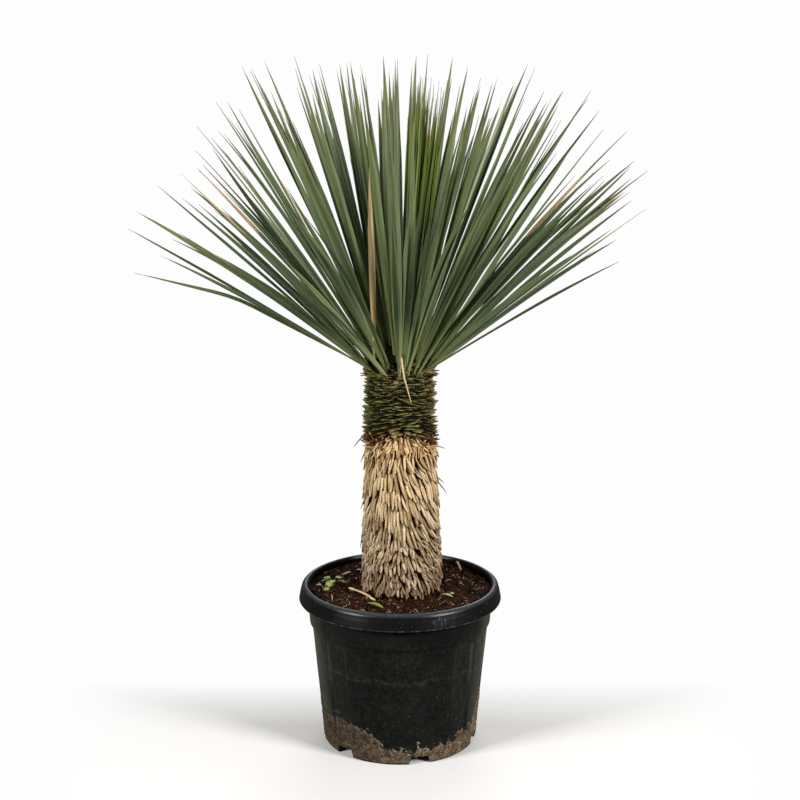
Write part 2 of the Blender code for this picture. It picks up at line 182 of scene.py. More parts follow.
# Collar and the dome that bears the leaves, as in the solids but for the lower edge, which is level there
DOME_RADIUS = 0.0520
DOME_HEIGHT = 0.0440
COLLAR_TOP = collar_high.z - DOME_HEIGHT
COLLAR_RADIUS = 0.0560
COLLAR_EDGE = 0.4840
COLLAR_ARCH = 0.0220  # the collar's lower edge is this much higher in the middle of the front
COLLAR_CORE_DEPTH = 0.0075
COLLAR_ROWS = 26
BASES_AROUND = 25
FOOT_SCALES = 150
BASE_HALF_THICKNESS = (0.0006, 0.0010)
BASE_HALF_WIDTH = (0.0066, 0.0118)
BASE_LENGTH = (0.0105, 0.0180)
BASE_DEPTH = 0.0130  # from the collar's face in to the start of a leaf base
SCALE_HALF_WIDTH = (0.0025, 0.0055)
SCALE_LENGTH = (0.008, 0.018)
SCALE_ROOTS = (74, 100)  # degrees down from the dome's top

# Crown, by the rule of the solids. The upright leaves are 8 to 10 mm shorter
CAD_LEAVES = 46
CROWN_TURN = math.radians(8)
LENGTHS = ((0, 0.385), (15, 0.422), (30, 0.468), (45, 0.432), (60, 0.378))  # by lean in degrees
LONG_SIDE = math.radians(110)
LONG_SIDE_GROWTH = 0.06
LENGTH_SPREAD = 0.0140
LEAF_HALF_WIDTH = 0.0066
MEAN_SPREAD = math.radians(50)
SPREAD_SWING = math.radians(8)
SPREAD_AXIS = math.radians(28)
CROWDING = 1.45
LOWEST_ROOT = math.radians(88)
ROOT_DEPTH = 0.002  # of the scene's leaves in the dome
LEAF_BEND = math.radians(10)
BEND_RANGE = (0.2, 1.4)
BENT_LENGTH = 0.385  # 10 mm longer than in the solid

# Crown, finer than the solids
BLADE_WIDTH_SHARE = 0.9  # of the solid leaf's width
LEAF_HALF_THICKNESS = 0.0007
LEAF_STATIONS = 14
FILLING_LEAVES = 200
FILLING_ROOT = math.radians(100)
OUTER_ROOT = math.radians(92)
OUTER_BEND = math.radians(4)
FILLING_REACH = (-0.050, 0.018)  # filling leaves differ in length from the rule by this
FILLING_WIDTH_SHARE = (0.55, 1.0)
TUFT_WINDOW = (math.radians(-1), math.radians(8))  # leaves in front of the tuft are short, so that it shows
TUFT_SHARE = (0.55, 0.72)
DEAD_WINDOW = (-0.066, -0.020)  # X where no filling leaf passes in front of the dead blade
DEAD_WINDOW_FRONT = -0.06  # Y of the window's back
DEAD_WINDOW_REACH = 0.22  # metres along a leaf where that is judged
ROOM_SHARE = 0.99  # of the way to the solids' box that a filling leaf may take up
LEAF_GROUPS = 6
HEART_LEAVES = 90
HEART_ROOT = np.array([0.010, -0.012, -0.006])  # from the top of the collar's middle
HEART_ROOT_SPREAD = (0.010, 0.008)
HEART_RISE = np.array([0.029, -0.058, 0.390])  # from the tuft's root to its top
HEART_TOP_SPREAD = (0.019, 0.014)
HEART_ROUNDING = 0.020  # the tuft's outer leaves end this much lower
HEART_LENGTH_SPREAD = (-0.040, 0.015)
HEART_WIDTH_SHARE = (0.26, 0.48)
BUNDLES = 30
BUNDLE_STEP = (4.0, 9.0)  # degrees from one bundle to the next
BUNDLE_PULL = (0.0, 0.50)
BUNDLE_REACH = 0.3  # metres along a leaf where its place in a bundle is judged
FRINGE = math.radians(50)  # further out than this, leaves are drawn in
FRINGE_PULL = 0.35
DRAWN_PULL = 1.3
CROWN_EDGE = math.radians(58)
AIRY_SIDE = -math.radians(38)  # fewer leaves to the left of this
AIRY_SHARE = 0.30
SHORT_SIDES = (  # angle from upright, width and depth of the two notches in the crown's outline
    (math.radians(-43), math.radians(10), 0.16),
    (math.radians(52), math.radians(5), 0.12),
)
FRONT_VIEW = np.array([0, 0.974, -0.227])

# Outlines that strips carry, counterclockwise as (across, up)
RHOMBUS = np.array([(-1, 0), (0, -1), (1, 0), (0, 1)], float)
SLAT = np.array([(-1, 0), (-0.55, -1), (0.55, -1), (1, 0), (0.55, 1), (-0.55, 1)], float)
ROUND = np.array([(math.cos(a), math.sin(a)) for a in np.arange(8) * FULL_TURN / 8])

# Where a strip's sides and ends lie in its cell of the bake map, and a lathed body's rows in its own. The
# ends are given by their two lower edges, and the others as (lower edge, size)
CELL_ACROSS = (0.03, 0.94)
CELL_ALONG = (0.02, 0.84)
CELL_ENDS = (0.87, 0.94)
CELL_END_HEIGHT = 0.05
LATHE_ROWS = (0.04, 0.92)

# Studio
SOFTBOXES = (  # name, place, height that it faces on the axis, side and power
    ("right_softbox", (2.1, -1.6, 1.6), 0.4, 0.8, 122),
    ("left_softbox", (-2.2, -1.5, 1.5), 0.4, 0.8, 103),
    ("top_softbox", (0.1, -0.1, 3.2), 0.5, 1.6, 12),
    ("back_softbox", (0.3, 2.5, 2.1), 0.4, 1.8, 36),
)
WHITE = 0.985  # how bright the room looks
ROOM_LIGHT = 0.09  # how bright the room is to the plant
FLOOR_RADIUS = 14.0
CAMERA_DISTANCE = 2.6
CAMERA_HEIGHT = 1.161
CAMERA_DIP = 13.15  # degrees
CAMERA_LENS = 77.7
CAMERA_SENSOR = 36


# Numbers


def smooth_step(low, high, value):
    """0 up to low and 1 from high on, with the cubic 3s^2 - 2s^3 between them."""
    share = np.clip((value - low) / (high - low), 0, 1)
    return share * share * (3 - 2 * share)


def unit(vectors):
    """The vectors at a length of one."""
    return vectors / np.linalg.norm(vectors, axis=-1, keepdims=True)


def wrapped(angles):
    """Angles brought between minus and plus half a turn."""
    return (angles + math.pi) % FULL_TURN - math.pi


def in_rows(rows, places):
    """The row number and the place number of everything in rows of equally many places."""
    return (index.ravel() for index in np.meshgrid(np.arange(rows), np.arange(places), indexing="ij"))


def joined(*parts):
    """Separate X, Y and Z arrays as one array of vectors."""
    return np.stack(np.broadcast_arrays(*parts), -1)


def ripples(points, size, seed, waves=28):
    """Smooth noise around 0: the sum of cosines in random directions, of wavelengths around size."""
    rng = np.random.default_rng(seed)
    pace = unit(rng.normal(size=(waves, 3))) * rng.uniform(0.6, 1.7, (waves, 1)) * FULL_TURN / size
    phase = rng.uniform(0, FULL_TURN, waves)
    return np.cos(points @ pace.T + phase).sum(-1) / math.sqrt(waves / 2)


def leaning(azimuth, lean):
    """The direction that leans away from +Z by lean, towards azimuth from +X."""
    return joined(np.sin(lean) * np.cos(azimuth), np.sin(lean) * np.sin(azimuth), np.cos(lean))


def facing(angle, radius, height):
    """The point at a radius and height, at an angle that is 0 at -Y and grows towards +X."""
    return joined(radius * np.sin(angle), -radius * np.cos(angle), height)


# Meshes


def add_piece(name, points, faces, finish, stands_for=(), crease=40, values=None, places=None):
    """A finished piece on the plant's body. faces holds arrays of corner indices, one for each size of face.
    values are numbers at the points by attribute name, and places are the corners' spots on the bake map.
    Edges sharper than crease, in degrees, stay sharp."""
    mesh = bpy.data.meshes.new(name)
    mesh.vertices.add(len(points))
    mesh.vertices.foreach_set("co", points.astype(np.float32).ravel())
    corners = np.concatenate([group.ravel() for group in faces])
    sizes = np.concatenate([np.full(len(group), group.shape[1]) for group in faces])
    mesh.loops.add(len(corners))
    mesh.loops.foreach_set("vertex_index", corners.astype(np.int32))
    mesh.polygons.add(len(sizes))
    mesh.polygons.foreach_set("loop_start", (np.cumsum(sizes) - sizes).astype(np.int32))
    mesh.update(calc_edges=True)
    mesh.shade_smooth()
    mesh.set_sharp_from_angle(angle=math.radians(crease))
    for key, numbers in (values or {}).items():
        kind, field = ("FLOAT_VECTOR", "vector") if numbers.ndim == 2 else ("FLOAT", "value")
        layer = mesh.attributes.new(key, kind, "POINT")
        layer.data.foreach_set(field, numbers.astype(np.float32).ravel())
    if places is not None:
        mesh.uv_layers.new(name="OFBake").data.foreach_set("uv", places.astype(np.float32).ravel())
    mesh.materials.append(finish)
    piece = bpy.data.objects.new(name, mesh)
    bpy.context.scene.collection.objects.link(piece)
    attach(piece, "root")
    if stands_for:
        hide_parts(*stands_for)
    return piece


def strip_places(strips, stations, outline, slimness):
    """Each strip's own cell of the bake map, in rows of cells about as slim as a strip. In a cell the sides
    lie unrolled below, and the two ends above them."""
    corners = len(outline)
    columns = int(np.clip(round(math.sqrt(strips * slimness)), 1, strips))
    rows = math.ceil(strips / columns)
    number = np.arange(strips)
    cell = np.stack([number % columns, number // columns], -1).astype(float)
    turn, step = np.meshgrid(np.arange(corners), np.arange(stations - 1))
    across = np.stack([turn, turn + 1, turn + 1, turn], -1) / corners
    along = np.stack([step, step, step + 1, step + 1], -1) / (stations - 1)
    across = CELL_ACROSS[0] + CELL_ACROSS[1] * across
    along = CELL_ALONG[0] + CELL_ALONG[1] * along
    sides = np.stack([across, along], -1).reshape(1, -1, 2)
    flat = np.stack([0.5 + 0.45 * outline[:, 0], 0.5 + 0.5 * outline[:, 1]], -1) * (1, CELL_END_HEIGHT)
    ends = [flat[::-1] + (0, CELL_ENDS[0]), flat + (0, CELL_ENDS[1])]
    fit = (columns, rows)
    return np.concatenate(
        [((cell[:, None] + sides) / fit).reshape(-1, 2)]
        + [((cell[:, None] + end[None]) / fit).reshape(-1, 2) for end in ends]
    )


def add_strips(
    name, centre, face, half_width, half_thickness, finish, slot,
    outline=RHOMBUS, fold=0.0, tone=None, stands_for=(), crease=40, **values,
):
    """Closed strips along paths. With side = face x direction, a point is
    centre + side * half_width * across + face * (half_thickness * up + half_width * fold * |across|).
    centre is (strips, stations, 3), and face is the way that the flat side looks."""
    strips, stations = centre.shape[:2]
    corners = len(outline)
    across, up = outline.T
    direction = unit(np.gradient(centre, axis=1))
    side = unit(np.cross(face, direction))
    face = np.cross(direction, side)
    wide = np.broadcast_to(half_width, (strips, stations))[..., None]
    thick = np.broadcast_to(half_thickness, (strips, stations))[..., None]
    lift = thick * up + wide * np.broadcast_to(fold, (strips, stations))[..., None] * np.abs(across)
    points = centre[:, :, None] + side[:, :, None] * (wide * across)[..., None]
    points = points + face[:, :, None] * lift[..., None]
    index = np.arange(strips * stations * corners).reshape(strips, stations, corners)
    here, there = index[:, :-1], index[:, 1:]
    quads = np.stack([here, np.roll(here, -1, 2), np.roll(there, -1, 2), there], -1).reshape(-1, 4)
    steps = np.linalg.norm(np.diff(centre, axis=1), axis=-1)
    travel = np.concatenate([np.zeros((strips, 1)), steps.cumsum(1)], 1)
    tone = np.zeros(strips) if tone is None else tone
    shape = (strips, stations, corners)
    strand = joined(wide * across, travel[..., None], tone[:, None, None])
    held = {
        "strand": np.broadcast_to(strand, (*shape, 3)).reshape(-1, 3),
        "tone": np.broadcast_to(tone[:, None, None], shape).ravel(),
        "share": np.broadcast_to(np.linspace(0, 1, stations)[:, None], shape).ravel(),
        "edge": np.broadcast_to(np.abs(across), shape).ravel(),
    }
    for key, numbers in values.items():
        held[key] = np.broadcast_to(np.broadcast_to(numbers, (strips, stations))[..., None], shape).ravel()
    slimness = travel[:, -1].mean() / (2 * np.mean(np.abs(wide)) + 2 * np.mean(thick))
    places = strip_places(strips, stations, outline, slimness)
    ends = np.concatenate([index[:, 0, ::-1], index[:, -1]])
    points = points.reshape(-1, 3)
    return add_piece(name, points, [quads, ends], finish, stands_for, crease, held, places)


def even_turns(count):
    """Angles that part a full turn evenly, from 0 on."""
    return np.linspace(0, FULL_TURN, count, endpoint=False)


def spun(profile, angles):
    """The radius and the height of a profile's rows, the same at every angle, as arrays of (rows, angles)."""
    return (np.repeat(column[:, None], len(angles), 1) for column in profile.T)


def add_lathe(name, angles, radius, height, finish, stands_for=(), crease=40, values=None):
    """A closed body round the Z axis from arrays of radius and height, as (rows, angles). The rows run from a
    middle point inside or on top, outwards, and back to a middle point below."""
    rows, columns = radius.shape
    ring = facing(angles, radius, height).reshape(-1, 3)
    poles = np.array([(0, 0, height[0].mean()), (0, 0, height[-1].mean())])
    index = np.arange(rows * columns).reshape(rows, columns)
    right = np.roll(index, -1, 1)
    quads = np.stack([index[:-1], index[1:], right[1:], right[:-1]], -1).reshape(-1, 4)
    first, last = rows * columns, rows * columns + 1
    top = np.stack([np.full(columns, first), index[0], right[0]], -1)
    bottom = np.stack([np.full(columns, last), right[-1], index[-1]], -1)
    travel = np.hypot(np.diff(radius, axis=0), np.diff(height, axis=0)).mean(1)
    down = np.concatenate([[0], travel.cumsum()])
    down = LATHE_ROWS[0] + LATHE_ROWS[1] * down / down[-1]
    left_edge = np.arange(columns) / columns
    right_edge = left_edge + 1 / columns
    low, high = np.meshgrid(left_edge, down[:-1]), np.meshgrid(right_edge, down[1:])
    quad_places = np.stack(
        [np.stack([low[0], low[1]], -1), np.stack([low[0], high[1]], -1),
         np.stack([high[0], high[1]], -1), np.stack([high[0], low[1]], -1)], -2,
    )
    middle = (left_edge + right_edge) / 2
    near, far = np.full(columns, down[0]), np.full(columns, down[-1])
    top_places = [joined(middle, 0 * near), joined(left_edge, near), joined(right_edge, near)]
    bottom_places = [joined(middle, 0 * far + 1), joined(right_edge, far), joined(left_edge, far)]
    cap_places = [np.stack(spots, 1).reshape(-1, 2) for spots in (top_places, bottom_places)]
    places = np.concatenate([quad_places.reshape(-1, 2), *cap_places])
    held = {
        key: np.append(numbers.ravel(), (numbers[0].mean(), numbers[-1].mean()))
        for key, numbers in (values or {}).items()
    }
    points = np.concatenate([ring, poles])
    triangles = np.concatenate([top, bottom])
    return add_piece(name, points, [quads, triangles], finish, stands_for, crease, held, places)


# Materials


class Web:
    """Short calls for wiring one node tree."""

    def __init__(self, tree):
        self.tree = tree

    def add(self, kind, inputs=None, **settings):
        """A new node, with its settings and with values or links for its inputs."""
        node = self.tree.nodes.new("ShaderNode" + kind)
        for key, value in settings.items():
            setattr(node, key, value)
        for key, value in (inputs or {}).items():
            self.put(node.inputs[key], value)
        return node

    def put(self, socket, value):
        """A link into the socket, or a value set on it."""
        if isinstance(value, bpy.types.NodeSocket):
            self.tree.links.new(value, socket)
        else:
            socket.default_value = value

    def math(self, operation, *values):
        """Two values, or one, put through a Math node."""
        node = self.add("Math", operation=operation)
        for socket, value in zip(node.inputs, values):
            self.put(socket, value)
        return node.outputs[0]

    def product(self, *values):
        """All the values multiplied together."""
        result = values[0]
        for value in values[1:]:
            result = self.math("MULTIPLY", result, value)
        return result

    def vector(self, operation, *values):
        node = self.add("VectorMath", operation=operation)
        sockets = [node.inputs[0], node.inputs["Scale"]] if operation == "SCALE" else node.inputs
        for socket, value in zip(sockets, values):
            self.put(socket, value)
        return node.outputs["Value" if operation in ("DISTANCE", "LENGTH") else "Vector"]

    def position(self):
        """The place on the plant, in metres."""
        return self.add("TexCoord").outputs["Object"]

    def axes(self, vector):
        """The X, Y and Z of a vector, by their names."""
        return self.add("SeparateXYZ", {"Vector": vector}).outputs

    def noise(self, vector, scale, detail=3.0, roughness=0.55, distortion=0.0):
        """Noise with scale waves in a metre."""
        node = self.add("TexNoise", {"Vector": vector, "Scale": scale, "Detail": detail})
        node.inputs["Roughness"].default_value = roughness
        node.inputs["Distortion"].default_value = distortion
        return node.outputs["Fac"]

    def spread(self, value, low, high, to_low=0.0, to_high=1.0):
        """The value carried from low..high to to_low..to_high, and held there."""
        settings = {"Value": value, "From Min": low, "From Max": high, "To Min": to_low, "To Max": to_high}
        return self.add("MapRange", settings).outputs["Result"]

    def ramp(self, value, *stops):
        """A colour by the value, from stops of (position, colour)."""
        node = self.add("ValToRGB", {"Fac": value})
        elements = node.color_ramp.elements
        for _ in stops[2:]:
            elements.new(0.5)
        for element, (position, colour) in zip(elements, stops):
            element.position = position
            element.color = (*colour, 1)
        return node.outputs["Color"]

    def mix(self, share, first, second, blend="MIX"):
        """The first colour with a share of the second blended over it."""
        node = self.add("Mix", data_type="RGBA", blend_type=blend)
        self.put(node.inputs[0], share)
        for socket, colour in ((node.inputs[6], first), (node.inputs[7], second)):
            self.put(socket, (*colour, 1) if isinstance(colour, tuple) else colour)
        return node.outputs[2]

    def reading(self, name, output="Fac"):
        """A number or vector that the mesh holds under this name."""
        return self.add("Attribute", attribute_name=name).outputs[output]

    def group(self, tree, **inputs):
        """A shared node group, with values or links for its inputs."""
        node = self.add("Group")
        node.node_tree = tree
        for key, value in inputs.items():
            self.put(node.inputs[key.replace("_", " ")], value)
        return node


def grey(level):
    """A colour of equal red, green and blue."""
    return (level, level, level)


def new_group(name, inputs, outputs):
    """A shader node group with named float and vector inputs. Returns its web and its two end nodes."""
    tree = bpy.data.node_groups.new(name, "ShaderNodeTree")
    for socket, default in inputs.items():
        kind = "NodeSocketVector" if default is None else "NodeSocketFloat"
        made = tree.interface.new_socket(socket, in_out="INPUT", socket_type=kind)
        if default is not None:
            made.default_value = default
    for socket in outputs:
        tree.interface.new_socket(socket, in_out="OUTPUT", socket_type="NodeSocketFloat")
    return Web(tree), tree.nodes.new("NodeGroupInput").outputs, tree.nodes.new("NodeGroupOutput").inputs


def make_fibre_grain():
    """Streaks along a strip: noise on (across, along, tone), drawn out along the strip."""
    web, given, out = new_group(
        "fibre_grain", {"Strand": None, "Fineness": 1500.0, "Stretch": 18.0}, ("Streaks", "Fine Streaks")
    )
    along = web.math("DIVIDE", given["Fineness"], given["Stretch"])
    size = web.add("CombineXYZ", {"X": given["Fineness"], "Y": along, "Z": 60.0}).outputs[0]
    spot = web.vector("MULTIPLY", given["Strand"], size)
    web.put(out["Streaks"], web.noise(spot, 0.35, 3.0, 0.6, 0.3))
    web.put(out["Fine Streaks"], web.noise(spot, 1.3, 2.0, 0.6))
    return web.tree


def make_weathering():
    """Ragged patches that cover about Amount of a surface, broken up at a tenth of their Size."""
    web, given, out = new_group(
        "weathering", {"Position": None, "Size": 0.02, "Amount": 0.4, "Softness": 0.08}, ("Mask",)
    )
    scale = web.math("DIVIDE", 1.0, given["Size"])
    broad = web.noise(given["Position"], scale, 6.0, 0.62, 0.4)
    limit = web.math("SUBTRACT", 0.74, web.product(given["Amount"], 0.48))
    edge = web.math("ADD", limit, given["Softness"])
    web.put(out["Mask"], web.spread(broad, limit, edge))
    return web.tree


def new_material(name):
    """A material with a Principled shader. Returns the material, its web and the shader's inputs."""
    material = bpy.data.materials.new(name)
    material.use_nodes = True
    web = Web(material.node_tree)
    shader = material.node_tree.nodes["Principled BSDF"]
    return material, web, shader.inputs


def grain_of(web, fineness, stretch):
    """The streaks and the fine streaks along a strip, from the shared fibre grain."""
    node = web.group(fibre_grain, Strand=web.reading("strand", "Vector"), Fineness=fineness, Stretch=stretch)
    return node.outputs["Streaks"], node.outputs["Fine Streaks"]


def set_sheen(inputs, roughness, specular=0.5):
    """One roughness and one strength of reflection for the whole surface."""
    inputs["Roughness"].default_value = roughness
    inputs["Specular IOR Level"].default_value = specular


def bump(web, inputs, height, strength, distance):
    """Relief in the normals, up to distance metres high."""
    settings = {"Height": height, "Strength": strength, "Distance": distance}
    web.put(inputs["Normal"], web.add("Bump", settings).outputs["Normal"])


def make_leaf_finish():
    """Waxy blue-green blades with pale margins, yellow-green feet and olive tips. The attribute youth turns a
    blade yellow-green, and dry turns it to straw."""
    material, web, inputs = new_material("leaf_blade")
    tone, share, edge = (web.reading(name) for name in ("tone", "share", "edge"))
    youth, dry = web.reading("youth"), web.reading("dry")
    streaks, _ = grain_of(web, 1300.0, 26.0)
    green = web.ramp(
        tone,
        (0.0, (0.040, 0.066, 0.026)),
        (0.3, (0.090, 0.133, 0.066)),
        (0.6, (0.124, 0.171, 0.092)),
        (1.0, (0.142, 0.184, 0.066)),
    )
    green = web.mix(web.spread(share, 0.45, 0.98, 0.0, 0.8), green, (0.096, 0.108, 0.034))
    green = web.mix(web.spread(share, 0.44, 0.0, 0.0, 0.95), green, (0.320, 0.370, 0.140))
    green = web.mix(youth, green, web.ramp(tone, (0.1, (0.082, 0.112, 0.012)), (0.9, (0.154, 0.212, 0.026))))
    green = web.mix(web.spread(share, 0.86, 0.97, 0.0, 0.85), green, (0.085, 0.072, 0.032))
    green = web.mix(0.75, green, web.ramp(streaks, (0.25, grey(0.62)), (0.75, grey(1.3))), "MULTIPLY")
    green = web.mix(web.spread(edge, 0.80, 0.96, 0.0, 0.45), green, (0.33, 0.36, 0.16))
    straw = web.ramp(
        streaks, (0.25, (0.20, 0.120, 0.050)), (0.5, (0.44, 0.32, 0.160)), (0.75, (0.60, 0.48, 0.28))
    )
    patchy = web.math("ADD", dry, web.spread(streaks, 0.3, 0.7, -0.25, 0.25))
    colour = web.mix(web.spread(patchy, 0.4, 0.6), green, straw)
    web.put(inputs["Base Color"], colour)
    web.put(inputs["Roughness"], web.spread(streaks, 0.3, 0.7, 0.42, 0.60))
    inputs["Specular IOR Level"].default_value = 0.42
    bump(web, inputs, streaks, 0.15, 0.0006)
    return material


def make_thatch_finish():
    """Dry leaf bases: orange-tan under the collar, straw in the middle and grey-brown at the soil, with
    painted shade on darker strips near the top, towards each strip's root and along its margins.
    """
    material, web, inputs = new_material("dry_thatch")
    tone, share = web.reading("tone"), web.reading("share")
    position = web.position()
    streaks, fine_streaks = grain_of(web, 1900.0, 14.0)
    level = web.spread(web.axes(position)["Z"], SOIL_CROWN, TRUNK_TOP)
    wander = web.noise(position, 24.0, 2.0)
    level = web.math("ADD", level, web.spread(wander, 0.3, 0.7, -0.12, 0.12))
    straw = web.ramp(
        level,
        (0.0, (0.190, 0.122, 0.064)),
        (0.18, (0.325, 0.235, 0.138)),
        (0.5, (0.560, 0.430, 0.240)),
        (0.72, (0.630, 0.465, 0.240)),
        (0.86, (0.640, 0.430, 0.200)),
        (1.0, (0.610, 0.360, 0.140)),
    )
    # Painted shade: a darker red-brown copy of the straw, stronger towards the top, which the low-tone strips
    # take
    dark = web.ramp(level, (0.6, (0.50, 0.42, 0.35)), (0.9, (0.26, 0.15, 0.09)))
    dark = web.mix(1.0, straw, dark, "MULTIPLY")
    light = web.mix(0.45, straw, (0.74, 0.62, 0.44))
    straw = web.mix(web.spread(tone, 0.0, 0.55), dark, straw)
    straw = web.mix(web.spread(tone, 0.6, 1.0), straw, light)
    shades = web.ramp(streaks, (0.28, (0.45, 0.38, 0.32)), (0.62, grey(1.15)))
    straw = web.mix(0.85, straw, shades, "MULTIPLY")
    # Painted shade: each strip darkens to near-black red-brown towards its root, where it lies under the tier
    # above
    straw = web.mix(web.spread(share, 0.46, 0.10, 0.0, 0.85), straw, (0.052, 0.021, 0.008))
    # Painted shade in the slots: the strips' margins turn dark red-brown, more so towards the top
    painted_slot_shade = web.product(web.spread(web.reading("edge"), 0.52, 0.92), web.spread(level, 0.55, 0.95, 0.60, 0.95))
    straw = web.mix(painted_slot_shade, straw, (0.100, 0.043, 0.016))
    web.put(inputs["Base Color"], straw)
    set_sheen(inputs, 0.78, 0.25)
    bump(web, inputs, fine_streaks, 0.7, 0.0012)
    return material


def make_collar_finish():
    """Cut leaf bases: dark olive, browner in patches and near the thatch, with paler cut ends and painted
    shade towards their roots.
    """
    material, web, inputs = new_material("cut_leaf_base")
    tone, share = web.reading("tone"), web.reading("share")
    position = web.position()
    parts = web.axes(position)
    streaks, fine_streaks = grain_of(web, 1500.0, 7.0)
    olive = web.ramp(
        tone,
        (0.0, (0.055, 0.057, 0.009)),
        (0.5, (0.112, 0.114, 0.017)),
        (1.0, (0.205, 0.195, 0.040)),
    )
    brown = web.ramp(
        tone,
        (0.0, (0.060, 0.030, 0.012)),
        (0.6, (0.180, 0.100, 0.040)),
        (1.0, (0.420, 0.270, 0.120)),
    )
    ahead = web.spread(web.product(parts["Y"], -1.0), 0.0, COLLAR_RADIUS)
    edge = web.math("ADD", COLLAR_EDGE, web.product(COLLAR_ARCH, web.product(ahead, ahead)))
    level = web.math("DIVIDE", web.math("SUBTRACT", parts["Z"], edge), COLLAR_TOP - COLLAR_EDGE)
    wander = web.spread(web.noise(position, 30.0, 3.0), 0.3, 0.7, -0.5, 0.5)
    near_thatch = web.spread(web.math("SUBTRACT", level, web.product(wander, 0.28)), 0.20, 0.00)
    near_leaves = web.spread(web.math("ADD", level, web.product(wander, 0.9)), 0.86, 1.12)
    dry_side = web.spread(web.math("ADD", parts["X"], web.product(wander, 0.04)), 0.012, 0.046, 0.0, 0.60)
    browned = web.math("MAXIMUM", web.math("MAXIMUM", near_thatch, near_leaves), dry_side)
    colour = web.mix(browned, olive, brown)
    pale_end = web.mix(0.55, colour, (0.40, 0.36, 0.16))
    colour = web.mix(web.spread(share, 0.55, 1.0, 0.0, 0.55), colour, pale_end)
    # Painted shade: each base darkens to near-black towards its root, deep in the collar
    colour = web.mix(web.spread(share, 0.60, 0.2, 0.0, 0.95), colour, (0.006, 0.006, 0.002))
    speck = web.ramp(streaks, (0.3, grey(0.5)), (0.7, grey(1.3)))
    web.put(inputs["Base Color"], web.mix(0.8, colour, speck, "MULTIPLY"))
    set_sheen(inputs, 0.62, 0.3)
    bump(web, inputs, fine_streaks, 0.6, 0.0010)
    return material


def make_shade_finish():
    """The dark inside of the trunk and collar, seen between the strips."""
    material, web, inputs = new_material("deep_shade")
    position = web.position()
    fibres = web.noise(web.vector("MULTIPLY", position, (1.0, 1.0, 0.15)), 900.0, 3.0)
    olive = web.ramp(fibres, (0.35, (0.003, 0.003, 0.001)), (0.7, (0.013, 0.011, 0.003)))
    red = web.ramp(fibres, (0.35, (0.016, 0.006, 0.002)), (0.7, (0.095, 0.038, 0.013)))
    in_collar = web.spread(web.axes(position)["Z"], collar_low.z - 0.006, collar_low.z + 0.004)
    web.put(inputs["Base Color"], web.mix(in_collar, red, olive))
    set_sheen(inputs, 0.95, 0.1)
    bump(web, inputs, fibres, 0.6, 0.001)
    return material


def make_soil_finish():
    """Moist potting mix: near-black crumbs with red-brown bark."""
    material, web, inputs = new_material("potting_mix")
    position = web.position()
    crumbs = web.noise(position, 420.0, 5.0, 0.7)
    bark = web.group(weathering, Position=position, Size=0.012, Amount=0.42, Softness=0.10).outputs["Mask"]
    dark = web.ramp(
        crumbs,
        (0.35, (0.004, 0.002, 0.001)),
        (0.55, (0.017, 0.008, 0.004)),
        (0.75, (0.055, 0.026, 0.011)),
    )
    red = web.ramp(
        crumbs,
        (0.35, (0.014, 0.005, 0.002)),
        (0.60, (0.070, 0.024, 0.009)),
        (0.80, (0.150, 0.062, 0.026)),
    )
    web.put(inputs["Base Color"], web.mix(bark, dark, red))
    set_sheen(inputs, 0.90, 0.05)
    bump(web, inputs, crumbs, 0.9, 0.002)
    return material


def make_crumb_finish():
    """Bark chips and crumbs. Tone runs from black through red-brown to pale grit."""
    material, web, inputs = new_material("bark_crumbs")
    grit = web.noise(web.position(), 900.0, 3.0, 0.6)
    colour = web.ramp(
        web.reading("tone"),
        (0.0, (0.006, 0.003, 0.002)),
        (0.55, (0.026, 0.010, 0.004)),
        (0.86, (0.100, 0.038, 0.015)),
        (0.96, (0.22, 0.12, 0.055)),
        (1.0, (0.48, 0.41, 0.30)),
    )
    shades = web.ramp(grit, (0.3, grey(0.5)), (0.7, grey(1.3)))
    web.put(inputs["Base Color"], web.mix(0.8, colour, shades, "MULTIPLY"))
    set_sheen(inputs, 0.88, 0.06)
    bump(web, inputs, grit, 0.6, 0.001)
    return material


def make_stick_finish():
    """Dry pale wood and bark fibres. Tone runs from red-brown to straw."""
    material, web, inputs = new_material("dry_stick")
    streaks, fine_streaks = grain_of(web, 2200.0, 10.0)
    colour = web.ramp(
        web.reading("tone"),
        (0.0, (0.050, 0.019, 0.008)),
        (0.5, (0.190, 0.095, 0.040)),
        (1.0, (0.660, 0.490, 0.270)),
    )
    shades = web.ramp(streaks, (0.3, grey(0.45)), (0.7, grey(1.2)))
    web.put(inputs["Base Color"], web.mix(0.9, colour, shades, "MULTIPLY"))
    set_sheen(inputs, 0.80)
    bump(web, inputs, fine_streaks, 0.6, 0.0008)
    return material


def make_weed_finish():
    """Fresh weed leaflets, with a paler midrib and blotches."""
    material, web, inputs = new_material("weed_leaf")
    blotches = web.noise(web.position(), 300.0, 3.0)
    green = web.ramp(
        web.reading("tone"),
        (0.0, (0.038, 0.060, 0.012)),
        (0.5, (0.110, 0.148, 0.022)),
        (1.0, (0.250, 0.270, 0.038)),
    )
    green = web.mix(0.7, green, web.ramp(blotches, (0.3, grey(0.6)), (0.7, grey(1.25))), "MULTIPLY")
    green = web.mix(web.spread(web.reading("edge"), 0.22, 0.0, 0.0, 0.5), green, (0.42, 0.48, 0.20))
    web.put(inputs["Base Color"], green)
    set_sheen(inputs, 0.50)
    bump(web, inputs, blotches, 0.3, 0.0006)
    return material


def wear_line(web, height, line, reach, ragged):
    """A worn line round the pot at a height, faded out over its reach and broken up by ragged."""
    distance = web.math("ABSOLUTE", web.math("SUBTRACT", height, line))
    return web.product(web.spread(distance, reach, 0.0006), ragged)


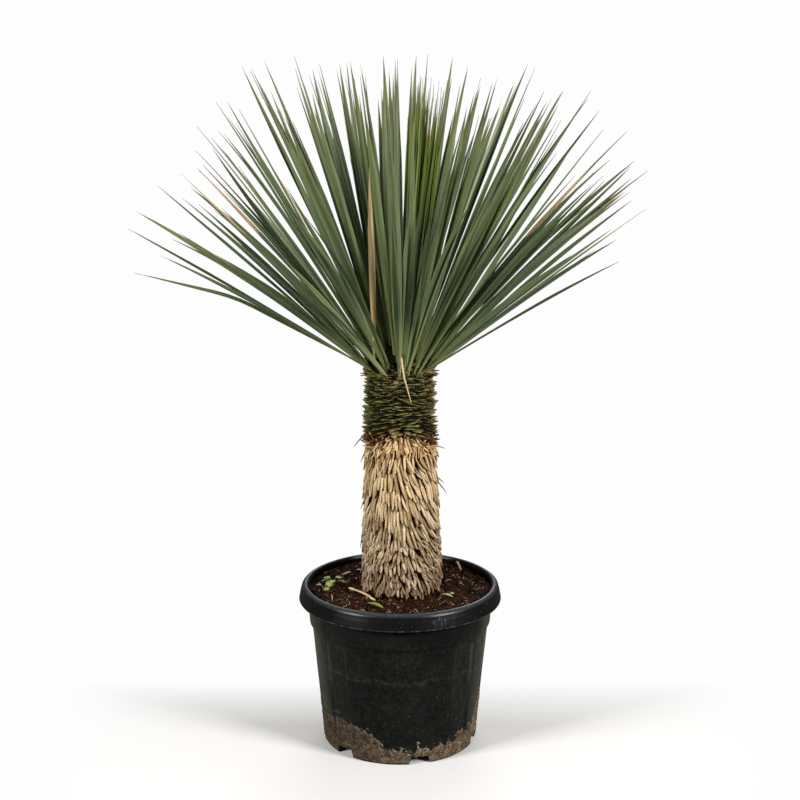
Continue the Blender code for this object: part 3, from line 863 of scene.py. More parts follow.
def dusty_plastic(web, position, parts):
    """The pot's colour above the mud: black, dusty in streaks, with painted sheen towards the sides and along
    the crest, chalk dust on the crest, painted shade under the lip, and a pale line of wear and painted
    highlight on the flutes' edges. Returns the colour, the share of dust and side sheen, and the broad clouds
    in it."""
    height = parts["Z"]
    cloud = web.noise(position, 17.0, 5.0, 0.62, 0.3)
    plastic = web.ramp(cloud, (0.30, (0.0042, 0.0046, 0.0040)), (0.70, (0.0088, 0.0096, 0.0084)))
    at_lip = web.spread(height, LIP_BOTTOM - 0.001, LIP_BOTTOM + 0.001, 0.0, 0.8)
    plastic = web.mix(at_lip, plastic, (0.0010, 0.0012, 0.0011))
    run = web.vector("MULTIPLY", position, (1.0, 1.0, 0.16))
    streak = web.noise(run, 260.0, 4.0, 0.6)
    smudge = web.spread(web.noise(position, 150.0, 6.0, 0.74, 0.2), 0.46, 0.80, 0.0, 0.44)
    reach = web.vector("LENGTH", web.vector("MULTIPLY", position, (1.0, 1.0, 0.0)))
    sideways = web.math("DIVIDE", web.math("ABSOLUTE", parts["X"]), reach)
    # Painted sheen: paler towards the sides, where the plastic is seen at a glancing angle
    side = web.spread(sideways, 0.55, 0.95, 0.0, 0.22)
    # dust holds the real smudges and the painted side sheen
    dust = web.product(
        web.math("ADD", smudge, side),
        web.spread(streak, 0.32, 0.62, 0.25, 1.0),
        # Less dust from the band up: painted shade that keeps the band under the lip dark
        web.spread(height, BAND_BOTTOM, BAND_BOTTOM + 0.012, 1.0, 0.25),
    )
    colour = web.mix(dust, plastic, (0.050, 0.049, 0.037))
    # Pale blue-grey along the crest's top: painted sheen where the crest catches the light, with chalk dust,
    # broken by the streaks
    crest_sheen_and_chalk = web.product(
        web.spread(height, 0.2535, 0.2582, 0.0, 0.75),
        web.spread(streak, 0.30, 0.60, 0.5, 1.0),
    )
    colour = web.mix(crest_sheen_and_chalk, colour, (0.050, 0.057, 0.064))
    # Painted sheen of the dusty plastic: a pale tan along the sides below the lip, where the pot is seen at a
    # glancing angle
    painted_side_sheen = web.product(
        web.spread(sideways, 0.83, 0.97, 0.0, 0.64),
        web.spread(streak, 0.25, 0.55, 0.5, 1.0),
        web.spread(height, LIP_BOTTOM - 0.004, LIP_BOTTOM, 1.0, 0.0),
        web.spread(cloud, 0.30, 0.62, 0.35, 1.0),
    )
    colour = web.mix(painted_side_sheen, colour, (0.105, 0.094, 0.066))
    speck = web.spread(web.noise(position, 520.0, 2.0, 0.5), 0.72, 0.77, 0.0, 0.30)
    colour = web.mix(speck, colour, (0.100, 0.102, 0.092))
    scuff_level = web.math("ADD", height, web.spread(web.noise(position, 14.0, 2.0), 0.3, 0.7, -0.005, 0.005))
    ragged = web.spread(web.noise(position, 90.0, 5.0, 0.80, 0.3), 0.44, 0.68, 0.0, 0.22)
    scuff = wear_line(web, scuff_level, SCUFF_HEIGHT, 0.0050, ragged)
    colour = web.mix(scuff, colour, (0.110, 0.122, 0.116))
    # The pale line along the flutes' edges: wear, and painted highlight where those edges catch the light
    worn = web.product(web.reading("worn"), web.spread(streak, 0.30, 0.60, 0.30, 0.85))
    colour = web.mix(worn, colour, (0.080, 0.083, 0.066))
    rubbed = web.product(
        web.spread(web.vector("DISTANCE", position, RUBBED_SPOT), 0.013, 0.004),
        web.spread(web.noise(run, 240.0, 5.0, 0.75, 0.8), 0.53, 0.66),
    )
    colour = web.mix(rubbed, colour, (0.21, 0.23, 0.24))
    ragged = web.spread(web.noise(position, 160.0, 4.0, 0.7), 0.47, 0.62, 0.15, 0.9)
    lip_wear = wear_line(web, height, LIP_BOTTOM + 0.0004, 0.0022, ragged)
    colour = web.mix(lip_wear, colour, (0.100, 0.098, 0.086))
    return colour, dust, cloud


def dried_mud(web, position, parts):
    """The colour of the mud, the mask of where it lies, and its crust. The mud is paler along its upper edge
    and darker in patches and towards the left. The mask follows the attribute mud, with the crust's ragged
    edge."""
    depth = web.reading("mud")
    crust = web.noise(position, 260.0, 6.0, 0.72, 0.4)
    ragged = web.math("ADD", depth, web.spread(crust, 0.3, 0.7, -0.50, 0.50))
    mask = web.spread(ragged, 0.38, 0.60)
    mud = web.ramp(
        crust,
        (0.30, (0.030, 0.021, 0.013)),
        (0.45, (0.120, 0.080, 0.048)),
        (0.58, (0.260, 0.178, 0.108)),
        (0.75, (0.460, 0.350, 0.225)),
    )
    patches = web.spread(web.noise(position, 75.0, 6.0, 0.80, 0.8), 0.44, 0.56, 0.0, 0.80)
    mud = web.mix(patches, mud, (0.034, 0.028, 0.018))
    pale_edge = web.product(web.spread(depth, 0.85, 0.40), web.spread(crust, 0.42, 0.58, 0.1, 0.8))
    mud = web.mix(pale_edge, mud, (0.44, 0.33, 0.22))
    mud = web.vector("SCALE", mud, web.spread(parts["X"], -0.09, 0.03, 0.42, 1.00))
    return mud, mask, crust


def make_pot_finish():
    """Black moulded plastic with soft smudges of dust, worn edges, painted sheen and highlights, painted
    shade under the lip, and dried mud on its foot.
    """
    material, web, inputs = new_material("weathered_plastic")
    position = web.position()
    parts = web.axes(position)
    colour, dust, cloud = dusty_plastic(web, position, parts)
    mud, mud_mask, crust = dried_mud(web, position, parts)
    web.put(inputs["Base Color"], web.mix(mud_mask, colour, mud))
    rough = web.math("ADD", web.spread(cloud, 0.3, 0.7, 0.27, 0.36), web.product(dust, 0.5))
    web.put(inputs["Roughness"], web.math("MAXIMUM", rough, web.product(mud_mask, 0.95)))
    inputs["Specular IOR Level"].default_value = 0.20
    mould = web.noise(position, 1400.0, 2.0, 0.6)
    relief = web.math("ADD", web.product(mould, 0.05), web.product(mud_mask, crust))
    bump(web, inputs, relief, 0.8, 0.0016)
    return material


# Pot


def flute_centres():
    """Angles of the flutes' middles. A rib as wide as a flute lies between two of them, and the label panel
    between the last and the first."""
    return LABEL_HALF_ANGLE + FLUTE_ANGLE * (2 * np.arange(FLUTES) + 0.5)


def notch_centres():
    """Angles of the notches' middles, evenly spaced from the first."""
    return FIRST_NOTCH + FULL_TURN * np.arange(NOTCHES) / NOTCHES


def turn_between(angles, centres):
    """The smallest turn from each angle to the nearest centre, always positive."""
    return np.abs(wrapped(angles[..., None] - centres)).min(-1)


def pot_angles():
    """Even columns, with more of them at the edges of the flutes and notches."""
    columns, middle_radius, closest = 250, 0.13, 0.0015
    even = np.arange(0, FULL_TURN, FULL_TURN / columns)
    edge = np.array([-1.0, -0.35, 0.35, 1.0]) * FLUTE_EDGE / middle_radius
    sides = np.array([-0.5, 0.5]) * FLUTE_ANGLE
    flutes = (flute_centres()[:, None, None] + sides[:, None] + edge).ravel()
    cuts = np.array([NOTCH_TOP_WIDTH / 2, NOTCH_FOOT_WIDTH / 2]) / FOOT_RADIUS
    notches = (notch_centres()[:, None] + np.concatenate([-cuts, cuts])).ravel()
    angles = np.unique(np.round(np.concatenate([even, flutes, notches]) % FULL_TURN, 5))
    return angles[np.append(True, np.diff(angles) > closest)]


def body_radius(height):
    """The body's outside, a cone that widens upwards from the foot."""
    return FOOT_RADIUS + BODY_SLOPE * height


def band_radius(height):
    """The band's outside, a wider cone above the body."""
    return BAND_RADIUS + BAND_SLOPE * (height - BAND_BOTTOM)


def arc(centre, radii, start, end, count):
    """Points on an ellipse in the profile plane, between angles in degrees from the outward direction."""
    angle = np.radians(np.linspace(start, end, count))
    return np.stack([centre[0] + radii[0] * np.cos(angle), centre[1] + radii[1] * np.sin(angle)], -1)


def line(start, end, count):
    """Points evenly along a straight line in the profile plane."""
    return np.linspace(start, end, count)


def pot_rows():
    """Profile rows of (radius, height) from the floor's middle up the inside, over the crest, round the lip,
    down the outside and under the floor, and the row numbers where the body begins and where the body, the
    foot and its inner side end."""
    inner_edge = (body_radius(FLOOR_TOP) - BODY_THICKNESS, FLOOR_TOP)
    inner_body = (body_radius(BODY_TOP) - BODY_THICKNESS, BODY_TOP)
    inner_band = (band_radius(BAND_BOTTOM) - BAND_THICKNESS, BAND_BOTTOM)
    inner_top = (band_radius(BAND_TOP) - BAND_THICKNESS, BAND_TOP)
    crest = (CREST_RADIUS, BAND_TOP)
    crest_height = POT_HEIGHT - BAND_TOP
    hook = band_radius(BAND_TOP) + LIP_THICKNESS / 2
    inside = [
        line((POLE_RADIUS, FLOOR_TOP), inner_edge, 6),
        line(inner_edge, inner_body, 6)[1:],
        line(inner_body, inner_band, 3)[1:],
        line(inner_band, inner_top, 6)[1:],
        arc(crest, (CREST_RADIUS - inner_top[0], crest_height), 180, 90, 9)[1:],
        arc(crest, (CREST_OUTER_RADIUS, crest_height), 90, 4, 10)[1:],
        line((LIP_RADIUS - LIP_SETBACK, LIP_SHOULDER), (LIP_RADIUS, LIP_BOTTOM + 0.0012), 6),
        arc((LIP_RADIUS - LIP_BEAD, LIP_BOTTOM + LIP_BEAD), (LIP_BEAD, LIP_BEAD), -15, -165, 6),
        line((LIP_RADIUS - LIP_THICKNESS, LIP_BOTTOM + 0.0014), (CHANNEL_RADIUS, CHANNEL_TOP), 5),
        line((hook, CHANNEL_TOP), (band_radius(BAND_TOP), BAND_TOP - LIP_THICKNESS / 2), 2),
        line((band_radius(CHANNEL_BOTTOM), CHANNEL_BOTTOM), (band_radius(BAND_BOTTOM), BAND_BOTTOM), 9),
        arc((band_radius(BAND_BOTTOM) - BAND_CORNER, BAND_BOTTOM), (BAND_CORNER, BAND_CORNER), -20, -85, 4),
    ]
    close, dense = BODY_TOP - 0.012, 0.100
    levels = np.unique(np.concatenate([
        np.linspace(BODY_TOP, close, 9),
        np.linspace(close, dense, 28),
        np.linspace(dense, FOOT_CORNER, 58),
    ]))[::-1]
    body = np.stack([body_radius(levels), levels], -1)
    corner_middle = (body_radius(FOOT_CORNER) - FOOT_CORNER, FOOT_CORNER)
    corner = arc(corner_middle, (FOOT_CORNER, FOOT_CORNER), -12, -90, 6)
    foot_inner = FOOT_RADIUS - FOOT_WIDTH
    foot = np.concatenate([corner, line((foot_inner + 0.001, 0), (foot_inner, 0.001), 2)])
    inner_side = line((foot_inner, 0.003), (foot_inner, FLOOR_BOTTOM), 4)
    below = line((foot_inner - 0.002, FLOOR_BOTTOM), (POLE_RADIUS, FLOOR_BOTTOM), 5)
    lead = np.concatenate(inside)
    rows = np.concatenate([lead, body, foot, inner_side, below])
    marks = np.cumsum([len(lead), len(body), len(foot), len(inner_side)])
    return rows, marks


def outside_flute(angles, height, radius):
    """Distance to the nearest flute's outline, a rounded rectangle. It is negative inside."""
    across = turn_between(angles, flute_centres()) * radius - FLUTE_ANGLE / 2 * radius + FLUTE_CORNER
    middle, half = (FLUTE_TOP + FLUTE_BOTTOM) / 2, (FLUTE_TOP - FLUTE_BOTTOM) / 2
    upright = np.abs(height - middle) - half + FLUTE_CORNER
    outside = np.hypot(np.maximum(across, 0), np.maximum(upright, 0)) - FLUTE_CORNER
    return outside + np.minimum(np.maximum(across, upright), 0)


def mud_share(angles, points, height):
    """How far a spot is below the mud's ragged upper edge, from 0 to 1."""
    turn, edge = np.array(MUD_EDGE).T
    degrees = (np.degrees(angles) + 180) % 360 - 180
    limit = np.interp(degrees, turn, edge)
    limit = limit + 0.0045 * ripples(points, 0.016, 3) + 0.0022 * ripples(points, 0.006, 4)
    return smooth_step(-0.005, 0.012, limit - height)


def add_pot(finish):
    """The profile's rows carried round the axis. The flutes are sunk into the body, and the mud stands out in
    lumps. Over each notch the rows are drawn up by the notch's height at the foot, and less further up."""
    angles = pot_angles()
    rows, (body_start, body_end, foot_end, side_end) = pot_rows()
    radius, height = spun(rows, angles)
    turns = np.broadcast_to(angles, radius.shape)
    points = facing(turns, radius, height)
    mud = np.zeros_like(radius)
    skin = slice(body_start, foot_end)
    mud[skin] = mud_share(turns[skin], points[skin], height[skin])
    lumps = 0.5 + 0.28 * ripples(points, 0.0075, 5) + 0.22 * ripples(points, 0.0040, 6)
    body = slice(body_start, body_end)
    outside = outside_flute(turns[body], height[body], radius[body])
    worn = np.zeros_like(radius)
    # worn marks the flutes' edges for a pale line of wear and painted highlight
    worn[body] = np.exp(-((outside / FLUTE_WEAR) ** 2)) * smooth_step(0.06, 0.17, height[body])
    radius[body] -= FLUTE_DEPTH * smooth_step(FLUTE_EDGE, -FLUTE_EDGE, outside)
    radius[body] += MUD_THICKNESS * mud[body] * np.clip(lumps[body], 0, 1.3)
    radius += 0.00018 * ripples(points, 0.11, 7) * (height > 0.01)
    aside = turn_between(turns, notch_centres()) * FOOT_RADIUS
    slope = (NOTCH_FOOT_WIDTH - NOTCH_TOP_WIDTH) / 2
    rise = NOTCH_HEIGHT * np.clip((NOTCH_FOOT_WIDTH / 2 - aside) / slope, 0, 1)
    rise = rise * (1 - 0.06 * np.abs(ripples(points, 0.012, 8)))
    height[body] += (rise * np.clip(1 - height / NOTCH_REACH, 0, 1))[body]
    height[body_end:foot_end] += rise[body_end:foot_end]
    inner = slice(foot_end, side_end)
    height[inner] += (rise * (1 - height / FLOOR_BOTTOM))[inner]
    values = {"mud": mud, "worn": worn}
    add_lathe("pot_wall", angles, radius, height, finish, ["pot"], 32, values)


# Soil


def soil_height(radius):
    """A cone, here almost level, from the trunk's foot to the wall."""
    edge = band_radius(SOIL_EDGE) - BAND_THICKNESS
    share = np.clip((radius - TRUNK_FOOT_RADIUS) / (edge - TRUNK_FOOT_RADIUS), 0, 1)
    return SOIL_CROWN + (SOIL_EDGE - SOIL_CROWN) * share


def soil_surface(x, y):
    """The cone of soil_height, a little lower, with wide and narrow ripples for hollows and lumps."""
    flat = joined(x, y, 0 * x)
    level = soil_height(np.hypot(x, y)) - SOIL_SETTLING
    return level + 0.0018 * ripples(flat, 0.040, 11) + 0.0013 * ripples(flat, 0.013, 12)


def add_soil(finish):
    """The filling down to the pot's floor. Its top rows are the rough surface."""
    angles = even_turns(260)
    wall = band_radius(SOIL_EDGE) - BAND_THICKNESS - SOIL_GAP
    radii = np.linspace(POLE_RADIUS, wall - 0.0005, 62)
    radius = np.repeat(radii[:, None], len(angles), 1)
    spots = facing(angles, radius, 0 * radius)
    height = soil_surface(spots[..., 0], spots[..., 1])
    height += 0.0010 * ripples(spots, 0.0060, 13) + 0.0005 * np.abs(ripples(spots, 0.0025, 14))
    height = np.minimum(height, SOIL_CROWN)
    below = np.array([
        (band_radius(BAND_BOTTOM) - BAND_THICKNESS - SOIL_GAP, BAND_BOTTOM),
        (body_radius(BODY_TOP) - BODY_THICKNESS - SOIL_GAP, BODY_TOP),
        (body_radius(FLOOR_TOP) - BODY_THICKNESS - SOIL_GAP, FLOOR_TOP + SOIL_GAP),
        (POLE_RADIUS, FLOOR_TOP + SOIL_GAP),
    ])
    radius = np.concatenate([radius, np.repeat(below[:, :1], len(angles), 1)])
    height = np.concatenate([height, np.repeat(below[:, 1:], len(angles), 1)])
    add_lathe("soil_bed", angles, radius, height, finish, ["soil"], 60)


def on_soil(rng, count, inner, outer):
    """Random spots on the soil between two radii."""
    radius = np.sqrt(rng.uniform(inner**2, outer**2, count))
    turn = rng.uniform(0, FULL_TURN, count)
    x, y = radius * np.cos(turn), radius * np.sin(turn)
    return x, y, soil_surface(x, y)


def chip_shape():
    """The twelve corners of a regular body of twenty triangles, and the triangles, with outward faces."""
    gold = (1 + math.sqrt(5)) / 2
    pair = np.array([(0, a, b * gold) for a in (-1, 1) for b in (-1, 1)])
    corners = unit(np.concatenate([pair, np.roll(pair, 1, 1), np.roll(pair, 2, 1)]))
    near = np.linalg.norm(corners[:, None] - corners, axis=-1) < 1.2
    faces = [
        (i, j, k)
        for i in range(CRUMB_CORNERS)
        for j in range(i + 1, CRUMB_CORNERS)
        for k in range(j + 1, CRUMB_CORNERS)
        if near[i, j] and near[j, k] and near[i, k]
    ]
    faces = np.array([face if np.linalg.det(corners[list(face)]) > 0 else face[::-1] for face in faces])
    return corners, faces


def add_crumbs(finish):
    """Chips: twelve-cornered lumps, each stretched and turned in its own way, half sunk in the soil."""
    rng = np.random.default_rng(21)
    corners, faces = chip_shape()
    x, y, z = on_soil(rng, CRUMBS, *CRUMB_RADII)
    reach = 0.0008 + 0.0027 * rng.random(CRUMBS) ** 3
    size = reach[:, None] * rng.uniform(0.5, 1.6, (CRUMBS, 3)) * (1, 1, 0.6)
    lumps = corners * rng.uniform(0.75, 1.2, (CRUMBS, CRUMB_CORNERS, 1)) * size[:, None]
    turn = rng.uniform(0, FULL_TURN, (CRUMBS, 1))
    turned_x = lumps[..., 0] * np.cos(turn) - lumps[..., 1] * np.sin(turn)
    turned_y = lumps[..., 0] * np.sin(turn) + lumps[..., 1] * np.cos(turn)
    points = joined(x[:, None] + turned_x, y[:, None] + turned_y, z[:, None] + 0.0004 + lumps[..., 2])
    triangles = (faces + CRUMB_CORNERS * np.arange(CRUMBS)[:, None, None]).reshape(-1, 3)
    tone = np.repeat(rng.random(CRUMBS) ** 1.6, CRUMB_CORNERS)
    points = points.reshape(-1, 3)
    add_piece("soil_crumbs", points, [triangles], finish, (), 20, {"tone": tone})


def curved_paths(start, heading, length, stations, curl):
    """Level paths that turn steadily: the heading changes by curl over the length."""
    share = (np.arange(stations - 1) + 0.5) / (stations - 1)
    way = heading[:, None] + curl[:, None] * share
    step = joined(np.cos(way), np.sin(way), 0 * way) * (length / (stations - 1))[:, None, None]
    return np.concatenate([start[:, None], start[:, None] + step.cumsum(1)], 1)


def add_fibres(finish):
    """Thin red-brown bark fibres lying about on the soil."""
    rng = np.random.default_rng(22)
    x, y, z = on_soil(rng, FIBRES, *FIBRE_RADII)
    length = rng.uniform(0.006, 0.020, FIBRES)
    start = joined(x, y, z + 0.0006)
    path = curved_paths(start, rng.uniform(0, FULL_TURN, FIBRES), length, 5, rng.normal(0, 1.1, FIBRES))
    radius = np.hypot(path[..., 0], path[..., 1])
    path[..., :2] *= np.minimum(1, WALL_REACH / radius)[..., None]
    path[..., 2] = soil_surface(path[..., 0], path[..., 1]) + 0.0009
    width = rng.uniform(0.00025, 0.0008, FIBRES)[:, None] * np.array([0.5, 0.9, 1, 0.8, 0.3])
    upward = np.broadcast_to((0.0, 0.0, 1.0), path.shape) + rng.normal(0, 0.3, (FIBRES, 1, 3))
    tone = rng.random(FIBRES) ** 1.6 * 0.85
    add_strips("bark_fibres", path, upward, width, width * 0.6, finish, "dry_wood", tone=tone)


def between(start, end, stations, bow=(0, 0, 0)):
    """Points from start to end, bowed out by up to bow at the middle."""
    share = np.linspace(0, 1, stations)[:, None]
    return np.array(start) + (np.array(end) - start) * share + np.array(bow) * np.sin(math.pi * share)


def soil_spot(x, y):
    """The point of the soil's surface at one X and Y."""
    return np.array([x, y, float(soil_surface(np.array(x), np.array(y)))])


def add_litter(stick_finish, weed_finish):
    """The twig, the bark stub and the fallen leaves, where their solids are, and two more scraps behind."""
    rng = np.random.default_rng(23)
    lift = np.array([0, 0, LITTER_LIFT])

    def spot(x, y):
        return soil_spot(x, y) + lift

    twig = between(spot(-0.040, -0.056), spot(-0.080, -0.002), 10, (0.0012, 0.0006, 0.0022))
    twig += rng.normal(0, 0.00025, twig.shape)
    stub = between(spot(0.098, 0.088), spot(0.098, 0.088) + (-0.006, 0.001, 0.014), 10, (0.001, 0, 0))
    upward = np.broadcast_to((0.3, 0.5, 1.0), (1, 10, 3))
    thick = 0.0025 * np.array([0.8, 1, 0.9, 0.95, 0.85, 0.9, 0.85, 0.95, 1.25, 0.7])
    add_strips("dry_twig", twig[None], upward, thick, thick * 0.8, stick_finish, "dry_wood", ROUND,
               tone=np.array([0.95]), stands_for=["twig"])
    add_strips("bark_splinter", stub[None], upward, thick * 1.4, thick * 0.9, stick_finish, "dry_wood", ROUND,
               tone=np.array([0.75]), stands_for=["bark_stub"])
    blade = np.array([0.25, 0.7, 0.95, 1.0, 0.9, 0.65, 0.12])
    scraps = (
        ("yellowed_leaf", (-0.050, -0.074), (-0.026, -0.104), 0.0040, 0.9, "fallen_leaf_left"),
        ("green_scrap", (0.064, -0.028), (0.083, -0.040), 0.0030, 0.7, "fallen_leaf_right"),
        ("far_scrap", (-0.071, 0.078), (-0.060, 0.082), 0.0026, 0.55, None),
        ("pale_scrap", (-0.094, 0.058), (-0.079, 0.066), 0.0022, 0.75, None),
    )
    for name, start, end, width, tone, node in scraps:
        path = between(spot(*start), spot(*end), 7, (0.001, 0.001, 0.0012))[None]
        upward = np.broadcast_to((0.1, -0.2, 1.0), path.shape)
        stands_for = [node] if node else ()
        add_strips(name, path, upward, width * blade, 0.0004, weed_finish, "weed", fold=0.25,
                   tone=np.array([tone]), stands_for=stands_for)


def add_seedling(finish, name, x, y, leaflets, spread, seed, node):
    """A weed: thin stems that rise and part from one spot, each with a round leaflet at its end."""
    rng = np.random.default_rng(seed)
    foot = soil_spot(x, y) - (0, 0, 0.001)
    heading = np.arange(leaflets) * GOLDEN_ANGLE + rng.normal(0, 0.3, leaflets)
    out = spread * np.sqrt((np.arange(leaflets) + 0.6) / leaflets)
    rise = 0.012 - 0.25 * out + rng.normal(0, 0.001, leaflets)
    tip = foot + joined(out * np.cos(heading), out * np.sin(heading), rise)
    share = np.linspace(0, 1, 7)[:, None]
    stems = foot + (tip - foot)[:, None] * joined(share[:, 0], share[:, 0], np.sqrt(share[:, 0]))
    size = rng.uniform(0.0040, 0.0066, leaflets)[:, None]
    way = joined(np.cos(heading), np.sin(heading), 0 * heading)[:, None]
    leaves = tip[:, None] + way * (2 * size * share.T)[..., None]
    leaves[..., 2] -= 0.0012 * share.T**2
    width = size * np.array([0.25, 0.72, 0.98, 1.0, 0.86, 0.55, 0.12])
    upward = np.broadcast_to((0.0, 0.0, 1.0), leaves.shape) + rng.normal(0, 0.25, (leaflets, 1, 3))
    path = np.concatenate([stems, leaves])
    face = np.concatenate([np.broadcast_to((0.3, 0.2, 1.0), stems.shape), upward])
    wide = np.concatenate([np.full((leaflets, 7), 0.0005), width])
    thick = np.concatenate([np.full((leaflets, 7), 0.0005), np.full((leaflets, 7), 0.0003)])
    tone = np.concatenate([np.full(leaflets, 0.35), rng.uniform(0.2, 0.85, leaflets)])
    add_strips(name, path, face, wide, thick, finish, "weed", fold=0.12, tone=tone, stands_for=[node])


# Trunk


def trunk_radius(height):
    """Thickest below its middle and thinner towards the collar: an arch of swell, less an even thinning."""
    share = (height - SOIL_CROWN) / (TRUNK_TOP - SOIL_CROWN)
    swell = TRUNK_SWELL * np.sin(math.pi * np.clip(share + SWELL_SHIFT, 0, 1))
    return TRUNK_RADIUS + swell - TRUNK_THINNING * share


def trunk_bow(height):
    """How far the trunk stands to the right: most at the soil, and back in the axis at the collar."""
    share = np.clip((height - SOIL_CROWN) / (TRUNK_TOP - SOIL_CROWN), 0, 1)
    return TRUNK_BOW * np.cos(math.pi / 2 * share) ** 0.7


def add_core(finish):
    """The stem inside the thatch, and inside the collar up to the dome that bears the leaves; with the shade
    finish it is the dark of painted shade between the strips.
    """
    angles = even_turns(72)
    levels = np.linspace(TRUNK_TOP, trunk_low.z, 40)
    profile = np.stack([trunk_radius(levels) - CORE_DEPTH, levels], -1)
    profile[levels < SOIL_CROWN, 0] = BURIED_RADIUS
    profile = np.concatenate([[(CORE_POLE_RADIUS, TRUNK_TOP)], profile, [(CORE_POLE_RADIUS, trunk_low.z)]])
    radius, height = spun(profile, angles)
    rough = radius > 2 * CORE_POLE_RADIUS
    radius = radius + 0.0008 * ripples(facing(angles, radius, height), 0.008, 31) * rough
    add_lathe("trunk_core", angles, radius, height, finish, ["trunk"], 50)
    dome = arc((0, COLLAR_TOP), (DOME_RADIUS - 0.002, DOME_HEIGHT - 0.002), 84, 0, 14)
    core_radius = COLLAR_RADIUS - COLLAR_CORE_DEPTH
    sides = line((core_radius, COLLAR_TOP - 0.004), (core_radius, collar_low.z), 14)
    profile = np.concatenate([dome, sides, [(CORE_POLE_RADIUS, collar_low.z)]])
    radius, height = spun(profile, angles)
    add_lathe("collar_core", angles, radius, height, finish, ["leaf_base_collar"], 50)


def thatch_slant(angle, height):
    """How far strips turn aside as they hang: to the right on the front's right, and wandering elsewhere."""
    right = smooth_step(-0.35, 0.55, angle) * smooth_step(2.4, 1.5, angle) * smooth_step(0.475, 0.44, height)
    return 0.27 * right + 0.09 * ripples(facing(angle, TRUNK_RADIUS, height), 0.06, 33)


def collar_edge(angle):
    """Height of the collar's lower edge, which arches over the middle of the front."""
    return COLLAR_EDGE + COLLAR_ARCH * np.maximum(0, np.cos(angle)) ** 2


def collar_slant(angle, height):
    """The highest strips turn far aside, away from the middle of the front."""
    return 0.85 * np.sin(angle + 0.12) + 0.12 * ripples(facing(angle, TRUNK_RADIUS, height), 0.05, 34)


def add_thatch(tiers, finish, slant=thatch_slant, arched=0):
    """Hanging strips in overlapping tiers. A strip comes out of the stem under the tier above, keeps to the
    trunk while it turns aside by its slant, and its rounded end stands off by its flare. Where arched is 1,
    the tiers follow the collar's lower edge."""
    name, low, high, step, around, length, looseness, flare, seed = tiers
    rng = np.random.default_rng(seed)
    tier, place = in_rows(round((high - low) / step), around)
    count = len(tier)
    turn = wrapped((place + 0.5 * (tier % 2) + rng.normal(0, 0.16, count)) * FULL_TURN / around)
    end = low + step * (tier + 0.2) + arched * (collar_edge(turn) - COLLAR_EDGE)
    spots = facing(turn, TRUNK_RADIUS, end)
    end = end + step * (0.30 * ripples(spots, 0.040, seed + 1) + 0.24 * rng.normal(size=count))
    lengths = rng.uniform(*length, count)
    start = np.minimum(end + lengths, collar_edge(turn) + 0.004)
    lengths = start - end
    lean = slant(turn, end) + looseness * rng.normal(size=count)
    share = np.linspace(0, 1, 7)
    curve = lean[:, None] * (0.6 + 0.8 * share) + looseness * rng.normal(size=(count, 1)) * (share - 0.5)
    height = start[:, None] - lengths[:, None] * share * np.cos(curve)
    height = np.maximum(height, SOIL_CROWN - 0.003)
    angle = turn[:, None] + lengths[:, None] * (share - 0.5) * np.sin(curve) / TRUNK_RADIUS
    stand = (0.35 + rng.uniform(0, 1, count) ** 2) * flare
    emerge = STRIP_ROOT_DEPTH * (1 - smooth_step(0, 0.7, share))
    radius = trunk_radius(height) - STRIP_DEPTH - emerge + stand[:, None] * share**3
    radius += 0.0008 * ripples(spots, 0.02, seed + 3)[:, None]
    path = facing(angle, radius, height)
    path[..., 0] += trunk_bow(height)
    outward = facing(angle, 1.0, 0 * angle) + rng.normal(0, 0.16, (count, 1, 3))
    shape = np.array([0.8, 0.92, 1.0, 1.0, 0.98, 0.90, 0.45])
    spacing = FULL_TURN * TRUNK_RADIUS / around
    slots = OPEN_SLOTS * smooth_step(*SLOTS_FROM, end)
    wide = spacing / 2 * (rng.uniform(0.66, 1.02, count) - slots)[:, None] * shape
    thick = rng.uniform(0.0008, 0.0015, count)[:, None] * np.array([1, 1.1, 1.1, 1.1, 1.1, 1.0, 0.6])
    tone = np.clip(rng.normal(0.52, 0.32, count) + 0.12 * ripples(spots, 0.03, seed + 4), 0, 1)
    add_strips(name, path, outward, wide, thick, finish, "thatch", SLAT, fold=-0.30, tone=tone, crease=50)


def add_strays(finish):
    """Loose dry strands that hang free or stick out at the sides: (angle in degrees, height, reach, drop)."""
    strays = (
        (-92, 0.500, 0.018, 0.022),
        (-94, 0.474, 0.007, 0.021),
        (-84, 0.400, 0.006, 0.020),
        (-91, 0.350, 0.005, 0.036),
        (93, 0.480, 0.015, 0.006),
        (90, 0.425, 0.015, 0.024),
        (97, 0.430, 0.012, 0.014),
        (150, 0.450, 0.012, 0.020),
        (-150, 0.385, 0.010, 0.030),
        (30, 0.300, 0.004, 0.022),
    )
    angle, height, reach, drop = np.array(strays).T
    share = np.linspace(0, 1, 7)
    radius = trunk_radius(height)[:, None] - STRAY_DEPTH + (reach + STRAY_DEPTH)[:, None] * share**0.8
    level = height[:, None] - drop[:, None] * share**1.1
    path = facing(np.radians(angle)[:, None] + 0.06 * share, radius, level)
    path[..., 0] += trunk_bow(level)
    outward = facing(np.radians(angle)[:, None] + 0 * share, 1.0, 0.6 + 0 * share)
    wide = STRAY_HALF_WIDTH * np.array([1, 1, 0.95, 0.85, 0.7, 0.5, 0.2])
    tone = np.linspace(0.1, 0.6, len(strays))
    add_strips("loose_strands", path, outward, wide, wide * 0.5, finish, "thatch", tone=tone)


